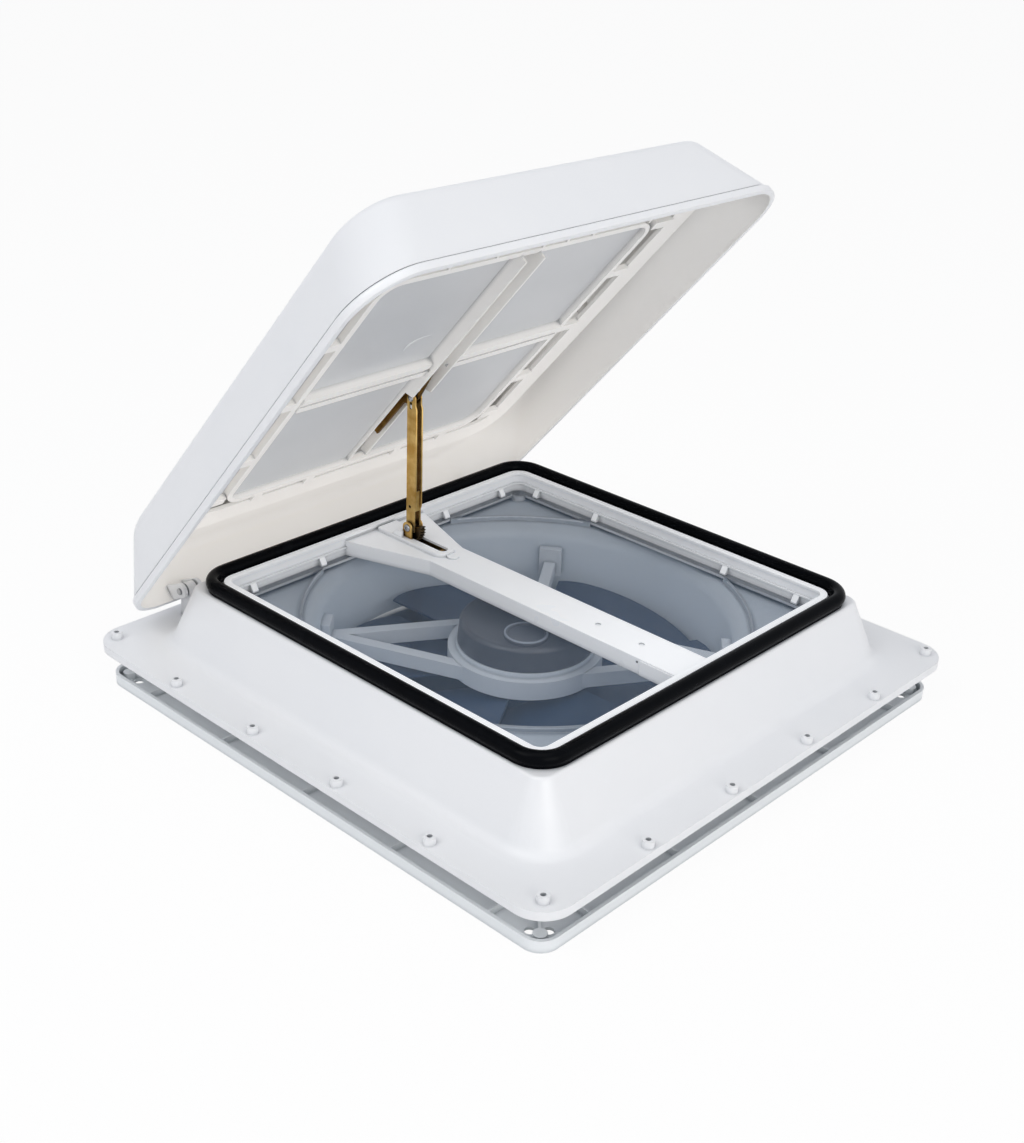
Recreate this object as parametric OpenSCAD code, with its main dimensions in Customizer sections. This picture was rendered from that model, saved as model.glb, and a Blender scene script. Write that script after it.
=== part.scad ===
// Caravan roof vent with a hinged lid, a worm-driven lift arm, an insect screen and an extractor fan.
// Origin at the middle of the corner roof screws, on the roof. X runs along the hinge, the hinge is at +Y.

/* [Roof flange] */
// Width and depth of the roof flange
flange_size = 447; // [442:1:455]
// Corner radius of the flange
flange_corner = 23; // [20:1:28]
// Height of the flange's edge
flange_height = 6.3; // [5.5:0.1:7]
// Thickness of the flange's skin
flange_skin = 3.2; // [2.8:0.1:3.6]
// Distance of the corner roof screws from the flange's edges
screw_corner_edge = 13.5; // [12:0.5:16]
// Distance of the side roof screws from the flange's edge
screw_side_edge = 5.5; // [5:0.5:7]
// Pitch of the side roof screws
screw_pitch = 84; // [76:1:88]
// Diameter of a screw boss
boss_d = 8; // [7.5:0.5:9]
// Height of a screw boss above the flange
boss_height = 5.2; // [3.5:0.1:6]
// Diameter of a roof screw's hole
screw_hole_d = 3.6; // [3:0.1:4.4]
// Width of the square hole in the roof
roof_hole = 355.6; // [354:0.2:358]
// Thickness of the roof between flange and trim
roof_thickness = 20; // [18:1:24]

/* [Coaming and seal] */
// Thickness of the coaming's wall
coaming_wall = 3; // [2.6:0.1:3.4]
// Distance of the coaming's corner centres from the middle
coaming_centre = 161; // [158:1:163]
// Distance of the seal's corner centres from the middle
corner_centre = 145; // [142:1:147]
// Distance of the coaming's foot from the middle
coaming_foot = 197.5; // [196:0.5:199]
// Distance of the coaming's top from the middle
coaming_top = 172.5; // [172:0.5:173]
// Height of the seal's seat above the roof
seat_z = 50; // [49:0.5:51]
// Radius of the hollow at the coaming's foot
foot_round = 10; // [8:0.5:11]
// Height of the rubber seal
seal_height = 10.4; // [10:0.2:11]
// Distance of the inner frame's inside from the middle
throat = 153; // [152:0.5:153.5]

/* [Lid] */
// Opening angle of the lid as photographed
lid_open = 49; // [48.5:0.25:49.5]
// Height of the hinge axis above the roof
hinge_z = 29; // [28.5:0.5:30]
// Distance of the hinge axis from the middle
hinge_y = 203; // [202:0.5:204]
// Distance from the hinge axis to the lid's front rim
lid_reach = 396; // [394:1:400]
// Distance from the hinge axis to the lid's rear rim
lid_tail = 18; // [17:0.5:19]
// Width of the lid
lid_w = 400; // [398:1:404]
// Height of the lid at its front
lid_h = 60.4; // [58:0.2:62]
// Height of the lid at its hinge end
lid_h_rear = 41; // [40:0.5:43]
// Thickness of the lid's skin
lid_skin = 2.6; // [2.2:0.1:3]
// Corner radius of the lid's rim at its front
lid_corner_front = 42; // [38:1:46]
// Corner radius of the lid's rim at its hinge end
lid_corner_rear = 32; // [28:1:36]
// Draw-in of the lid's top from each side at its front
lid_draw_front = 28.5; // [26:0.5:31]
// Draw-in of the lid's top from each side at its hinge end
lid_draw_rear = 3; // [2:0.5:6]
// Corner radius of the lid's top at its front
lid_top_corner = 39; // [34:1:44]
// Corner radius of the lid's top at its hinge end
lid_top_corner_rear = 76; // [70:1:80]
// Radius between the lid's walls and its top
lid_round = 10; // [8:1:12]
// Distance of a hinge from the lid's side
hinge_inset = 50; // [46:1:54]
// Diameter of a hinge pin
hinge_pin_d = 5; // [4.5:0.1:5.4]

/* [Lift gear] */
// Distance of the arm's pivot from the middle
pivot_y = 121; // [120.5:0.1:121.5]
// Height of the arm's pivot above the roof
pivot_z = 62; // [61.5:0.1:62.5]
// Length of the arm between its pivot and its pin
arm_length = 104; // [103.5:0.1:104.5]
// Turn of the arm for each degree of the lid
arm_ratio = 1.85; // [1.84:0.005:1.86]
// Diameter of the arm's pin
arm_pin_d = 3.5; // [3.2:0.1:3.8]
// Clearance of the arm's pin in the rail
slot_clear = 0.3; // [0.25:0.05:0.4]
// Width of the arm's channel
arm_w = 7; // [6.6:0.1:7.2]
// Thickness of the yellow-zinc sheet
sheet = 1.2; // [1:0.1:1.3]
// Radius of the worm over its thread
worm_r = 4.4; // [4.2:0.1:4.5]
// Pitch of the worm's thread
worm_pitch = 2.5; // [2.4:0.1:2.6]

/* [Fan] */
// Inside radius of the fan's duct
duct_r = 150; // [149:0.5:151]
// Radius of the bell mouth's curve
bell_round = 12; // [10:0.5:13]
// Radius of the fan blades
blade_r = 146; // [140:1:147]
// Number of fan blades
blade_count = 6; // [5:1:7]
// Outside radius of the motor's collar
collar_r = 57; // [56:1:59]
// Radius of the motor
motor_r = 46; // [44:0.5:47]

/* [Interior trim] */
// Width of the interior trim
trim_size = 432; // [428:1:436]
// Corner radius of the trim
trim_corner = 14; // [12:1:18]
// Height of the trim's outer wall
trim_height = 8.5; // [8:0.5:10]

/* [Fits] */
// Running clearance of a pin in its bore
run_clear = 0.05; // [0.02:0.01:0.1]
// Space between moving faces
gap = 0.3; // [0.2:0.05:0.4]

/* [Hidden] */
$fn = 96;
eps = 0.01;
flange_half = flange_size / 2;
screw_corner = flange_half - screw_corner_edge;
screw_side = flange_half - screw_side_edge;
boss_top = flange_height + boss_height;
roof_half = roof_hole / 2;
neck_half = roof_half - 2.8;
neck_wall = 2.5;
neck_corner = 14;
neck_depth = 16;
trim_half = trim_size / 2;
trim_top = -roof_thickness;
trim_floor = trim_top - trim_height;
trim_neck_half = neck_half - neck_wall - 1.5;
trim_screw_y = 100;
trim_screw_z = -10;
lean = (coaming_foot - 6 - coaming_top) / (seat_z - flange_height);
lean_angle = atan(lean);
lip_w = 4.5;
lip_over = 0.8;
lip_h = 5;
frame_wall = 3;
seat_in = throat + frame_wall;
ledge_z = seat_z - 5;
ledge_t = 1.4;
ledge_reach = 1.6;
post_at = throat - 7;
screen_clip_step = 65;
shroud_z = 34;
shroud_skin = 2.5;
shroud_half = 166;
screen_z = 38.5;
screen_t = 0.6;
beam_half = 17;
beam_top = 51;
beam_wall = 2;
beam_z = screen_z + screen_t;
housing_top = 54;
housing_half = 9.5;
housing_front = 80;
housing_rear = 150;
shaft_z = 45.5;
shaft_r = 2;
tray_half = 6;
splay_half = 41;
tray_front = 84;
tray_rear = 144;
tray_z = beam_z + 0.3;
slot_half = 3.9;
ear_r = 4.8;
pivot_r = 2;
lid_rim = -0.3;
hinge_x = lid_w / 2 - hinge_inset;
lid_top_w = lid_w - 2 * lid_draw_front;
lid_top_w_rear = lid_w - 2 * lid_draw_rear;
lid_top_tail = 14;
lid_top_front = lid_reach - 9;
lid_top_run = sqrt(pow(lid_top_front + lid_top_tail, 2) + pow(lid_h - lid_h_rear, 2));
lid_top_slope = asin((lid_h - lid_h_rear) / lid_top_run);
lid_mid = (lid_tail - lid_reach) / 2;
lid_half_y = (lid_tail + lid_reach) / 2;
lid_half_x = lid_w / 2;
bead_h = 5.5;
bead_w = 1.8;
seal_out = 170.4;
seal_mid = -hinge_y;
land_z = seat_z + seal_height + gap - hinge_z;
land_in = seat_in - 5.5;
land_out = seal_out + 3.6;
land_t = 2.7;
field_half_x = 127;
field_front = 327;
field_rear = 65;
field_mid = (field_front + field_rear) / 2;
field_half_y = (field_front - field_rear) / 2;
border_w = 5;
liner_z = 30.2;
liner_t = 4.8;
pane_z = liner_z + liner_t;
pane_t = 1.5;
rib_in = 8.2;
rib_wall = 1.6;
rib_roof = 40.3;
rib_roof_t = 1.5;
rib_low = 24.5;
rib_low_rear = 32;
rib_knee = 162;
rib_knee_run = 4;
rail_half = 1.2;
rail_rear = 101;
rail_tail = 73;
rail_low_rear = 31.6;
rail_knee = [146, 31.2];
rail_belly_rear = [152, 24.6];
rail_belly_front = [160, 24.2];
rail_nose_low = [192, 29.5];
rail_nose = [194, 31];
pane_corner = 18;
clip_places = [70, 125, 196, 266, 324];
rear_tab_places = [-95, -45, 45, 95];
post_places = [[-100, 163], [100, 163], [-160, 0], [160, 0], [-100, -163], [100, -163]];
gusset_places = [-120, -78, -35, 9, 33, 59, 120];
rail_screw_places = [108, 140];
strut_angles = [130, 35, -50];
strut_spreads = [18, 0, 18];
cap_place = [-20.5, -18.5];
spider_z = -4;
spider_t = 12;
rotor_mid = -16.5;
blade_pitch = 8;
hub_r = 40;
blade_root = 0.13 * blade_r;
blade_tip = 0.45 * blade_r;
motor_low = -8;
motor_box_half = 6;
motor_front = -120;
motor_rear = -95;
motor_top = 30;
motor_shaft_r = 3;

// Place of the arm's pin in the lid after it has closed by an angle, as [distance from the hinge, height].
function pin_in_lid(closed) = let (
    lid = lid_open - closed,
    turn = arm_ratio * closed,
    y = pivot_y - arm_length * sin(turn) - hinge_y,
    z = pivot_z + arm_length * cos(turn) - hinge_z
) [-y * cos(lid) + z * sin(lid), y * sin(lid) + z * cos(lid)];

// Ends of the rail's slot: the pin's place with the lid open, and its furthest place near the closed lid.
slot_near = pin_in_lid(0);
slot_far = pin_in_lid(0.77 * lid_open);

// Points of an arc round a centre, from one angle to another.
function arc(centre, radius, from, to, steps = 8) =
    [for (i = [0:steps]) let (a = from + (to - from) * i / steps) centre + radius * [cos(a), sin(a)]];

// Flat outline of a rectangle with round corners.
module rounded_rect(half_x, half_y, radius) {
    square([2 * half_x, 2 * (half_y - radius)], center = true);
    square([2 * (half_x - radius), 2 * half_y], center = true);
    for (sx = [-1, 1], sy = [-1, 1])
        translate([sx * (half_x - radius), sy * (half_y - radius)])
            circle(radius);
}

// Upright square tube with round corners.
module square_tube(half, radius, thickness, low, high) {
    translate([0, 0, low])
        linear_extrude(high - low)
            difference() {
                rounded_rect(half, half, radius);
                rounded_rect(half - thickness, half - thickness, radius - thickness);
            }
}

// Carries a wall's section round a square. The section's x is the distance from the corner centre.
module round_square(corner) {
    for (side = [0:3])
        rotate(90 * side)
            translate([corner, corner, 0]) {
                rotate_extrude(angle = 90)
                    children();
                rotate([90, 0, 0])
                    linear_extrude(2 * corner)
                        children();
            }
}

// Moves a piece from the hinge axis of a closed lid to its place on the open lid.
module on_lid() {
    translate([0, hinge_y, hinge_z])
        rotate([-lid_open, 0, 0])
            children();
}

// Moves a piece from the arm's pivot to its place.
module on_pivot() {
    translate([0, pivot_y, pivot_z])
        children();
}

// Turns a flat outline in [y, z] into a plate between two places along X.
module side_plate(from, to) {
    translate([from, 0, 0])
        rotate([90, 0, 90])
            linear_extrude(to - from)
                children();
}

// Places of the twenty roof screws.
module at_roof_screws() {
    for (side = [0:3])
        rotate(90 * side) {
            translate([screw_corner, screw_corner, 0])
                children();
            for (step = [-1.5:1:1.5])
                translate([screw_side, step * screw_pitch, 0])
                    children();
        }
}

// Section of the coaming's wall, from its hollow foot to the seal's seat.
module coaming_section() {
    slope_foot = coaming_top + lean * (seat_z - flange_height);
    foot_centre = [coaming_foot, flange_height + foot_round];
    edge_round = 3;
    inner = coaming_wall / cos(lean_angle);
    under = seat_z - coaming_wall;
    translate([-coaming_centre, 0])
        polygon(concat(
            [[coaming_foot, flange_height - flange_skin]],
            arc(foot_centre, foot_round, -90, -180 + lean_angle),
            arc([coaming_top - edge_round, seat_z - edge_round], edge_round, lean_angle, 90),
            [
                [coaming_centre + 3, seat_z],
                [coaming_centre + 3, under],
                [coaming_top + lean * coaming_wall - inner, under],
                [slope_foot + lean * flange_skin - inner, flange_height - flange_skin]
            ]
        ));
}

module base_flange() {
    under = flange_height - flange_skin;
    skirt = 4;
    lug_half = 3.5;
    color("white")
        difference() {
            union() {
                translate([0, 0, under])
                    linear_extrude(flange_skin)
                        rounded_rect(flange_half, flange_half, flange_corner);
                square_tube(flange_half, flange_corner, skirt, 0, under + eps);
                square_tube(neck_half, neck_corner, neck_wall, -neck_depth, under + eps);
                round_square(coaming_centre)
                    coaming_section();
                translate([0, 0, seat_z - coaming_wall])
                    linear_extrude(coaming_wall)
                        difference() {
                            rounded_rect(coaming_centre + 4, coaming_centre + 4, 4);
                            rounded_rect(seat_in, seat_in, seat_in - corner_centre);
                        }
                at_roof_screws() {
                    cylinder(h = boss_top, d = boss_d);
                    cylinder(h = under, d = boss_d + 3);
                }
                for (side = [-1, 1])
                    side_plate(side * hinge_x - lug_half, side * hinge_x + lug_half)
                        hinge_lug();
            }
            translate([0, 0, -1])
                linear_extrude(flange_height + 1 + eps)
                    rounded_rect(neck_half - neck_wall, neck_half - neck_wall, neck_corner - neck_wall);
            at_roof_screws()
                translate([0, 0, -1])
                    cylinder(h = boss_top + 2, d = screw_hole_d);
            for (side = [-1, 1])
                translate([side * hinge_x - lug_half - 1, hinge_y, hinge_z])
                    rotate([0, 90, 0])
                        cylinder(h = 2 * lug_half + 2, d = hinge_pin_d);
            for (side = [-1, 1], y = [-trim_screw_y, trim_screw_y])
                translate([side * (neck_half - neck_wall / 2), y, trim_screw_z])
                    rotate([0, 90, 0])
                        cylinder(h = neck_wall + 2, r = 1.6, center = true);
            translate([neck_half, 40, trim_screw_z])
                rotate([0, 90, 0])
                    cylinder(h = 4 * neck_wall, r = 4, center = true);
        }
}

// Outline of a hinge lug on the flange, in [y, z].
module hinge_lug() {
    eye = 5;
    foot = 8;
    translate([hinge_y, hinge_z])
        circle(eye);
    polygon([
        [hinge_y - foot, flange_height - 1],
        [hinge_y + foot, flange_height - 1],
        [hinge_y + eye, hinge_z],
        [hinge_y - eye, hinge_z]
    ]);
}

// Two round lobes on a flat foot.
module lid_seal() {
    bulb_r = seal_height / 2;
    foot_inset = 1.4;
    color([0.08, 0.08, 0.08])
        round_square(corner_centre)
            translate([seal_out - bulb_r - corner_centre, seat_z]) {
                translate([0, bulb_r])
                    circle(bulb_r);
                translate([foot_inset - bulb_r, 0])
                    square([2 * (bulb_r - foot_inset), bulb_r]);
            }
}

// Section of the inner frame: lip over the seat, wall, two ledges.
module frame_section() {
    translate([throat - corner_centre, 0]) {
        translate([0, shroud_z])
            square([frame_wall, seat_z + lip_h - shroud_z]);
        translate([-lip_over, seat_z + lip_h - 2])
            square([lip_w + lip_over, 2]);
        translate([0, seat_z])
            square([lip_w, lip_h]);
        translate([-ledge_reach, ledge_z])
            square([ledge_reach + 0.4, ledge_t]);
        translate([-5, screen_z - 2])
            square([6, 2]);
    }
}

// Clip tab that holds the screen down, at the middle of the +X side.
module screen_clip() {
    clip_half = 2.5;
    reach = 4.5;
    translate([throat, clip_half, beam_z])
        rotate([90, 0, 0])
            linear_extrude(2 * clip_half)
                polygon([[-reach, 0], [0.5, 0], [0.5, 7], [-1, 7], [-reach, 1.2]]);
}

module inner_frame() {
    color("white")
        difference() {
            union() {
                round_square(corner_centre)
                    frame_section();
                for (side = [0:3])
                    rotate(90 * side) {
                        for (step = [-2, -1, 1, 2])
                            translate([0, step * screen_clip_step, 0])
                                screen_clip();
                        translate([post_at, post_at, shroud_z])
                            cylinder(h = screen_z - shroud_z, r = 6);
                    }
            }
            for (side = [0:3])
                rotate(90 * side)
                    translate([post_at, post_at, shroud_z - 1])
                        cylinder(h = screen_z - shroud_z - 0.5, r = 1.5);
        }
}

module fly_screen() {
    color([0.45, 0.47, 0.5, 0.5])
        translate([0, 0, screen_z])
            linear_extrude(screen_t)
                rounded_rect(throat - gap, throat - gap, throat - corner_centre - gap);
}

// Plan of the beam: a straight bar that splays at the hinge end.
module beam_plan(inset) {
    half = beam_half - inset;
    splay = splay_half - inset;
    end = throat - inset;
    polygon([
        [-half, -end], [half, -end], [half, tray_front], [splay, end], [-splay, end], [-half, tray_front]
    ]);
}

module cross_beam() {
    stop_low = 124;
    step_rear = -119;
    step_w = 0.8;
    cheek_in = tray_half + 1;
    cavity = housing_half - tray_half;
    color("white")
        difference() {
            union() {
                difference() {
                    union() {
                        translate([0, 0, beam_z])
                            linear_extrude(beam_top - beam_z)
                                beam_plan(0);
                        translate([-beam_half - step_w, -throat, beam_z])
                            cube([2 * (beam_half + step_w), throat + step_rear, beam_top - 1 - beam_z]);
                    }
                    translate([0, 0, beam_z - 1])
                        linear_extrude(beam_top - beam_wall - beam_z + 1)
                            beam_plan(beam_wall);
                }
                translate([0, 0, beam_z])
                    linear_extrude(housing_top - beam_z)
                        housing_plan(0);
                // cheeks beside the arm's foot
                for (side = [0, 1])
                    mirror([side, 0, 0])
                        side_plate(cheek_in, cheek_in + 2)
                            polygon([
                                [stop_low, housing_top - 1], [stop_low, housing_top + 5],
                                [stop_low + 4, housing_top + 5], [stop_low + 12, housing_top - 1]
                            ]);
                // walls that hold the gear motor
                for (side = [0, 1])
                    mirror([side, 0, 0])
                        translate([motor_box_half, motor_front, beam_z])
                            cube([1.5, motor_rear - motor_front, beam_top - 1 - beam_z]);
                translate([0, housing_front - 3, beam_top - 1])
                    cylinder(h = 2.5, r = 4.5);
            }
            translate([0, 0, beam_z - 1])
                linear_extrude(housing_top - beam_wall - beam_z + 1)
                    housing_plan(cavity);
            // slot for the arm's foot and the worm
            translate([0, 0, beam_top - beam_wall - 1])
                linear_extrude(housing_top) {
                    translate([-slot_half, tray_front + slot_half])
                        square([2 * slot_half, 134 - tray_front - slot_half]);
                    translate([0, tray_front + slot_half])
                        circle(slot_half);
                    translate([-tray_half, pivot_y - ear_r])
                        square([2 * tray_half, 2 * ear_r]);
                }
            // way of the shaft through the housing's front wall
            translate([0, housing_front - 10, shaft_z])
                rotate([-90, 0, 0])
                    cylinder(h = 20, r = shaft_r + 1);
            // notches over the frame's ledge
            for (side = [-1, 1])
                translate([0, side * throat, ledge_z + ledge_t / 2])
                    cube([4 * beam_half + 40, 2 * (ledge_reach + gap), ledge_t + 2 * gap], center = true);
            for (y = [-67, -106])
                translate([0, y, beam_top - 1])
                    cylinder(h = 4, r = 2.2);
            translate([-beam_half - 2, step_rear + 3, 47.8])
                rotate([0, 90, 0])
                    cylinder(h = 8, r = 1);
        }
}

// Plan of the housing over the worm, round at its front.
module housing_plan(inset) {
    half = housing_half - inset;
    translate([-half, housing_front + housing_half])
        square([2 * half, housing_rear - housing_front - housing_half - inset]);
    translate([0, housing_front + housing_half])
        circle(half);
}

module lift_bracket() {
    side_h = housing_top - beam_wall - 2 * gap;
    color([0.72, 0.55, 0.2])
        difference() {
            union() {
                translate([-tray_half, tray_front + 6, tray_z])
                    cube([2 * tray_half, tray_rear - tray_front - 6, sheet]);
                for (y = [tray_front + 6, tray_rear - sheet])
                    translate([-tray_half, y, tray_z])
                        cube([2 * tray_half, sheet, side_h - tray_z]);
                for (side = [0, 1])
                    mirror([side, 0, 0])
                        side_plate(tray_half - sheet, tray_half) {
                            translate([tray_front + 6, tray_z])
                                square([tray_rear - tray_front - 6, side_h - tray_z]);
                            translate([pivot_y - ear_r, tray_z])
                                square([2 * ear_r, pivot_z - tray_z]);
                            translate([pivot_y, pivot_z])
                                circle(ear_r);
                        }
            }
            translate([0, tray_front, shaft_z])
                rotate([-90, 0, 0])
                    cylinder(h = tray_rear - tray_front + 2, r = shaft_r + run_clear);
            translate([-tray_half - 1, pivot_y, pivot_z])
                rotate([0, 90, 0])
                    cylinder(h = 2 * tray_half + 2, r = pivot_r);
        }
}

module pivot_screw() {
    head_r = 2.9;
    head_h = 1.3;
    nut_r = 3.2;
    color("silver")
        translate([0, pivot_y, pivot_z])
            rotate([0, 90, 0])
                difference() {
                    union() {
                        translate([0, 0, -tray_half - 1])
                            cylinder(h = 2 * tray_half + 2, r = pivot_r);
                        translate([0, 0, -tray_half - head_h])
                            cylinder(h = head_h, r = head_r);
                        translate([0, 0, tray_half])
                            cylinder(h = head_h + 0.4, r = nut_r, $fn = 6);
                    }
                    for (turn = [0, 90])
                        rotate(turn)
                            translate([-2, -0.4, -tray_half - head_h - 1])
                                cube([4, 0.8, 1.7]);
                }
}

// Shaft along the beam, with rings of thread under the arm's foot.
module worm_shaft() {
    thread_front = tray_front + 10;
    thread_rear = tray_rear - 6;
    core = worm_r - 1.2;
    turns = floor((thread_rear - thread_front) / worm_pitch);
    shaft_front = motor_rear - 5;
    color([0.35, 0.35, 0.37]) {
        translate([0, shaft_front, shaft_z])
            rotate([-90, 0, 0])
                cylinder(h = tray_rear + 1 - shaft_front, r = shaft_r);
        translate([0, thread_front, shaft_z])
            rotate([-90, 0, 0]) {
                cylinder(h = thread_rear - thread_front, r = core);
                rotate_extrude()
                    for (i = [0:turns - 1])
                        translate([0, i * worm_pitch])
                            polygon([
                                [core - 0.5, 0.1], [core, 0.1], [worm_r, 0.8],
                                [worm_r, 1.5], [core, 2.2], [core - 0.5, 2.2]
                            ]);
            }
    }
}

module shaft_coupling() {
    color([0.55, 0.55, 0.57])
        translate([0, motor_rear + 2, shaft_z])
            rotate([-90, 0, 0])
                difference() {
                    cylinder(h = 14, r = 3.4);
                    translate([0, 0, -1])
                        cylinder(h = 16, r = shaft_r);
                }
}

// Flat gear motor in the beam, a gear box and a flattened can.
module lift_motor() {
    box_h = 7;
    box_run = 9;
    can_round = 6.5;
    color([0.6, 0.6, 0.62])
        difference() {
            union() {
                translate([-motor_box_half, motor_rear - box_run, shaft_z - box_h / 2])
                    cube([2 * motor_box_half, box_run, box_h]);
                translate([0, motor_front, shaft_z])
                    rotate([-90, 0, 0])
                        intersection() {
                            cylinder(h = motor_rear - motor_front - box_run, r = can_round);
                            translate([-motor_box_half, -box_h / 2, 0])
                                cube([2 * motor_box_half, box_h, motor_rear - motor_front]);
                        }
            }
            translate([0, motor_rear - 6, shaft_z])
                rotate([-90, 0, 0])
                    cylinder(h = 10, r = shaft_r + run_clear);
        }
}

// Outline of the arm's wall, in [y, z] from its pivot.
module arm_outline() {
    front = 5;
    rear = 3.6;
    end_r = (front + rear) / 2;
    translate([-front, 0])
        square([front + rear, arm_length]);
    translate([(rear - front) / 2, arm_length])
        circle(end_r);
    circle(end_r);
    translate([-front, -3])
        square([front + 3, 4]);
}

module lift_arm() {
    inner = arm_w / 2 - sheet;
    web_top = 30;
    color([0.72, 0.55, 0.2])
        on_pivot()
            difference() {
                union() {
                    for (side = [0, 1])
                        mirror([side, 0, 0])
                            side_plate(inner, arm_w / 2)
                                arm_outline();
                    translate([-arm_w / 2, -5, 14])
                        cube([arm_w, sheet, web_top - 14]);
                }
                rotate([0, 90, 0])
                    cylinder(h = arm_w + 2, r = pivot_r + run_clear, center = true);
                translate([0, 0, arm_length])
                    rotate([0, 90, 0])
                        cylinder(h = arm_w + 2, d = arm_pin_d, center = true);
                translate([-arm_w / 2, 0, 17])
                    rotate([0, 90, 0])
                        cylinder(h = 2 * sheet + 1, r = 1.3, center = true);
                side_plate(-arm_w, 0) {
                    translate([0, arm_length - 7])
                        circle(1.5);
                    translate([-1.5, arm_length - 7])
                        square([3, 4]);
                }
            }
}

// Toothed sector between the arm's walls.
module arm_sector() {
    half = arm_w / 2 - sheet;
    tip = pivot_z - shaft_z - worm_r - 0.2;
    root = tip - 1.3;
    tooth = 12;
    color([0.6, 0.5, 0.25])
        on_pivot()
            difference() {
                union() {
                    rotate([90, 0, 90])
                        linear_extrude(2 * half, center = true) {
                            circle(3.6);
                            polygon(concat([[0, 0]], arc([0, 0], root, -195, -85, 24)));
                            for (a = [-192:tooth:-87])
                                rotate(a)
                                    polygon([
                                        [root - 0.5, -0.6], [tip, -0.35], [tip, 0.35], [root - 0.5, 0.6]
                                    ]);
                        }
                }
                rotate([0, 90, 0])
                    cylinder(h = arm_w, r = pivot_r + run_clear, center = true);
            }
}

module arm_pin() {
    head_r = 2.6;
    color("silver")
        on_pivot()
            translate([0, 0, arm_length])
                rotate([0, 90, 0]) {
                    cylinder(h = arm_w + 1, d = arm_pin_d, center = true);
                    for (side = [0, 1])
                        mirror([0, 0, side])
                            translate([0, 0, arm_w / 2])
                                cylinder(h = 1, r = head_r);
                }
}

// Lays a piece on the lid's sloping top, from its hinge end forward along -Y.
module on_lid_top() {
    translate([0, lid_top_tail, lid_rim + lid_h_rear])
        rotate([-lid_top_slope, 0, 0])
            children();
}

// Round corner of the lid's top, a disc with a round upper edge.
module lid_top_disc(radius, inset) {
    edge = lid_round - inset;
    translate([0, 0, -inset])
        rotate_extrude($fn = 64)
            polygon(concat(
                [[0, -edge]],
                arc([radius - inset - edge, -edge], edge, 0, 90, 6),
                [[0, 0]]
            ));
}

// Closed form of the lid above its bead, drawn in from the outside.
module lid_form(inset) {
    front_x = lid_top_w / 2 - lid_top_corner;
    rear_x = lid_top_w_rear / 2 - lid_top_corner_rear;
    hull() {
        translate([0, lid_mid, lid_rim + bead_h - 1])
            linear_extrude(1)
                lid_plan(bead_w + inset, $fn = 64);
        on_lid_top()
            for (side = [-1, 1]) {
                translate([side * front_x, lid_top_corner - lid_top_run, 0])
                    lid_top_disc(lid_top_corner, inset);
                translate([side * rear_x, -lid_top_corner_rear, 0])
                    lid_top_disc(lid_top_corner_rear, inset);
            }
    }
}

// Outline of a hinge ear on the lid, in [y, z] from the hinge axis.
module lid_ear() {
    eye = 6;
    circle(eye);
    polygon([[0, -eye], [lid_tail - 3.5, lid_rim + 1], [lid_tail - 6, 12], [0, eye]]);
}

module lid_shell() {
    color("white")
        on_lid()
            difference() {
                union() {
                    difference() {
                        union() {
                            lid_form(0);
                            translate([0, lid_mid, lid_rim])
                                linear_extrude(bead_h)
                                    lid_plan(0);
                        }
                        lid_form(lid_skin);
                        translate([0, lid_mid, lid_rim - 1])
                            linear_extrude(bead_h + 1)
                                lid_plan(bead_w + lid_skin);
                    }
                    for (side = [-1, 1], ear = [-6.8, 6.8])
                        side_plate(side * hinge_x + ear - 1.6, side * hinge_x + ear + 1.6)
                            lid_ear();
                }
                for (side = [-1, 1])
                    translate([side * hinge_x, 0, 0])
                        rotate([0, 90, 0])
                            cylinder(h = 24, d = hinge_pin_d + 2 * run_clear, center = true);
            }
}

// Plan of the lid, drawn in from its rim.
module lid_plan(inset) {
    front = lid_corner_front - inset;
    rear = lid_corner_rear - inset;
    half_x = lid_half_x - inset;
    half_y = lid_half_y - inset;
    translate([-half_x, front - half_y])
        square([2 * half_x, 2 * half_y - front - rear]);
    translate([front - half_x, -half_y])
        square([2 * (half_x - front), 2 * half_y - rear]);
    translate([rear - half_x, -front])
        square([2 * (half_x - rear), half_y + front]);
    for (sx = [-1, 1]) {
        translate([sx * (half_x - front), front - half_y])
            circle(front);
        translate([sx * (half_x - rear), half_y - rear])
            circle(rear);
    }
}

// Outline of one wall of the lengthwise rib, in [y, z] from the hinge axis.
module rib_outline() {
    top = rib_roof + rib_roof_t;
    top_rear = pane_z + pane_t + 2;
    polygon([
        [-field_front - 1, top], [-field_front - 1, rib_low],
        [-rib_knee - rib_knee_run, rib_low], [-rib_knee, rib_low_rear],
        [-field_rear + 1, rib_low_rear], [-field_rear + 1, top_rear],
        [-rail_tail, top_rear], [-rail_tail, top]
    ]);
}

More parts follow.
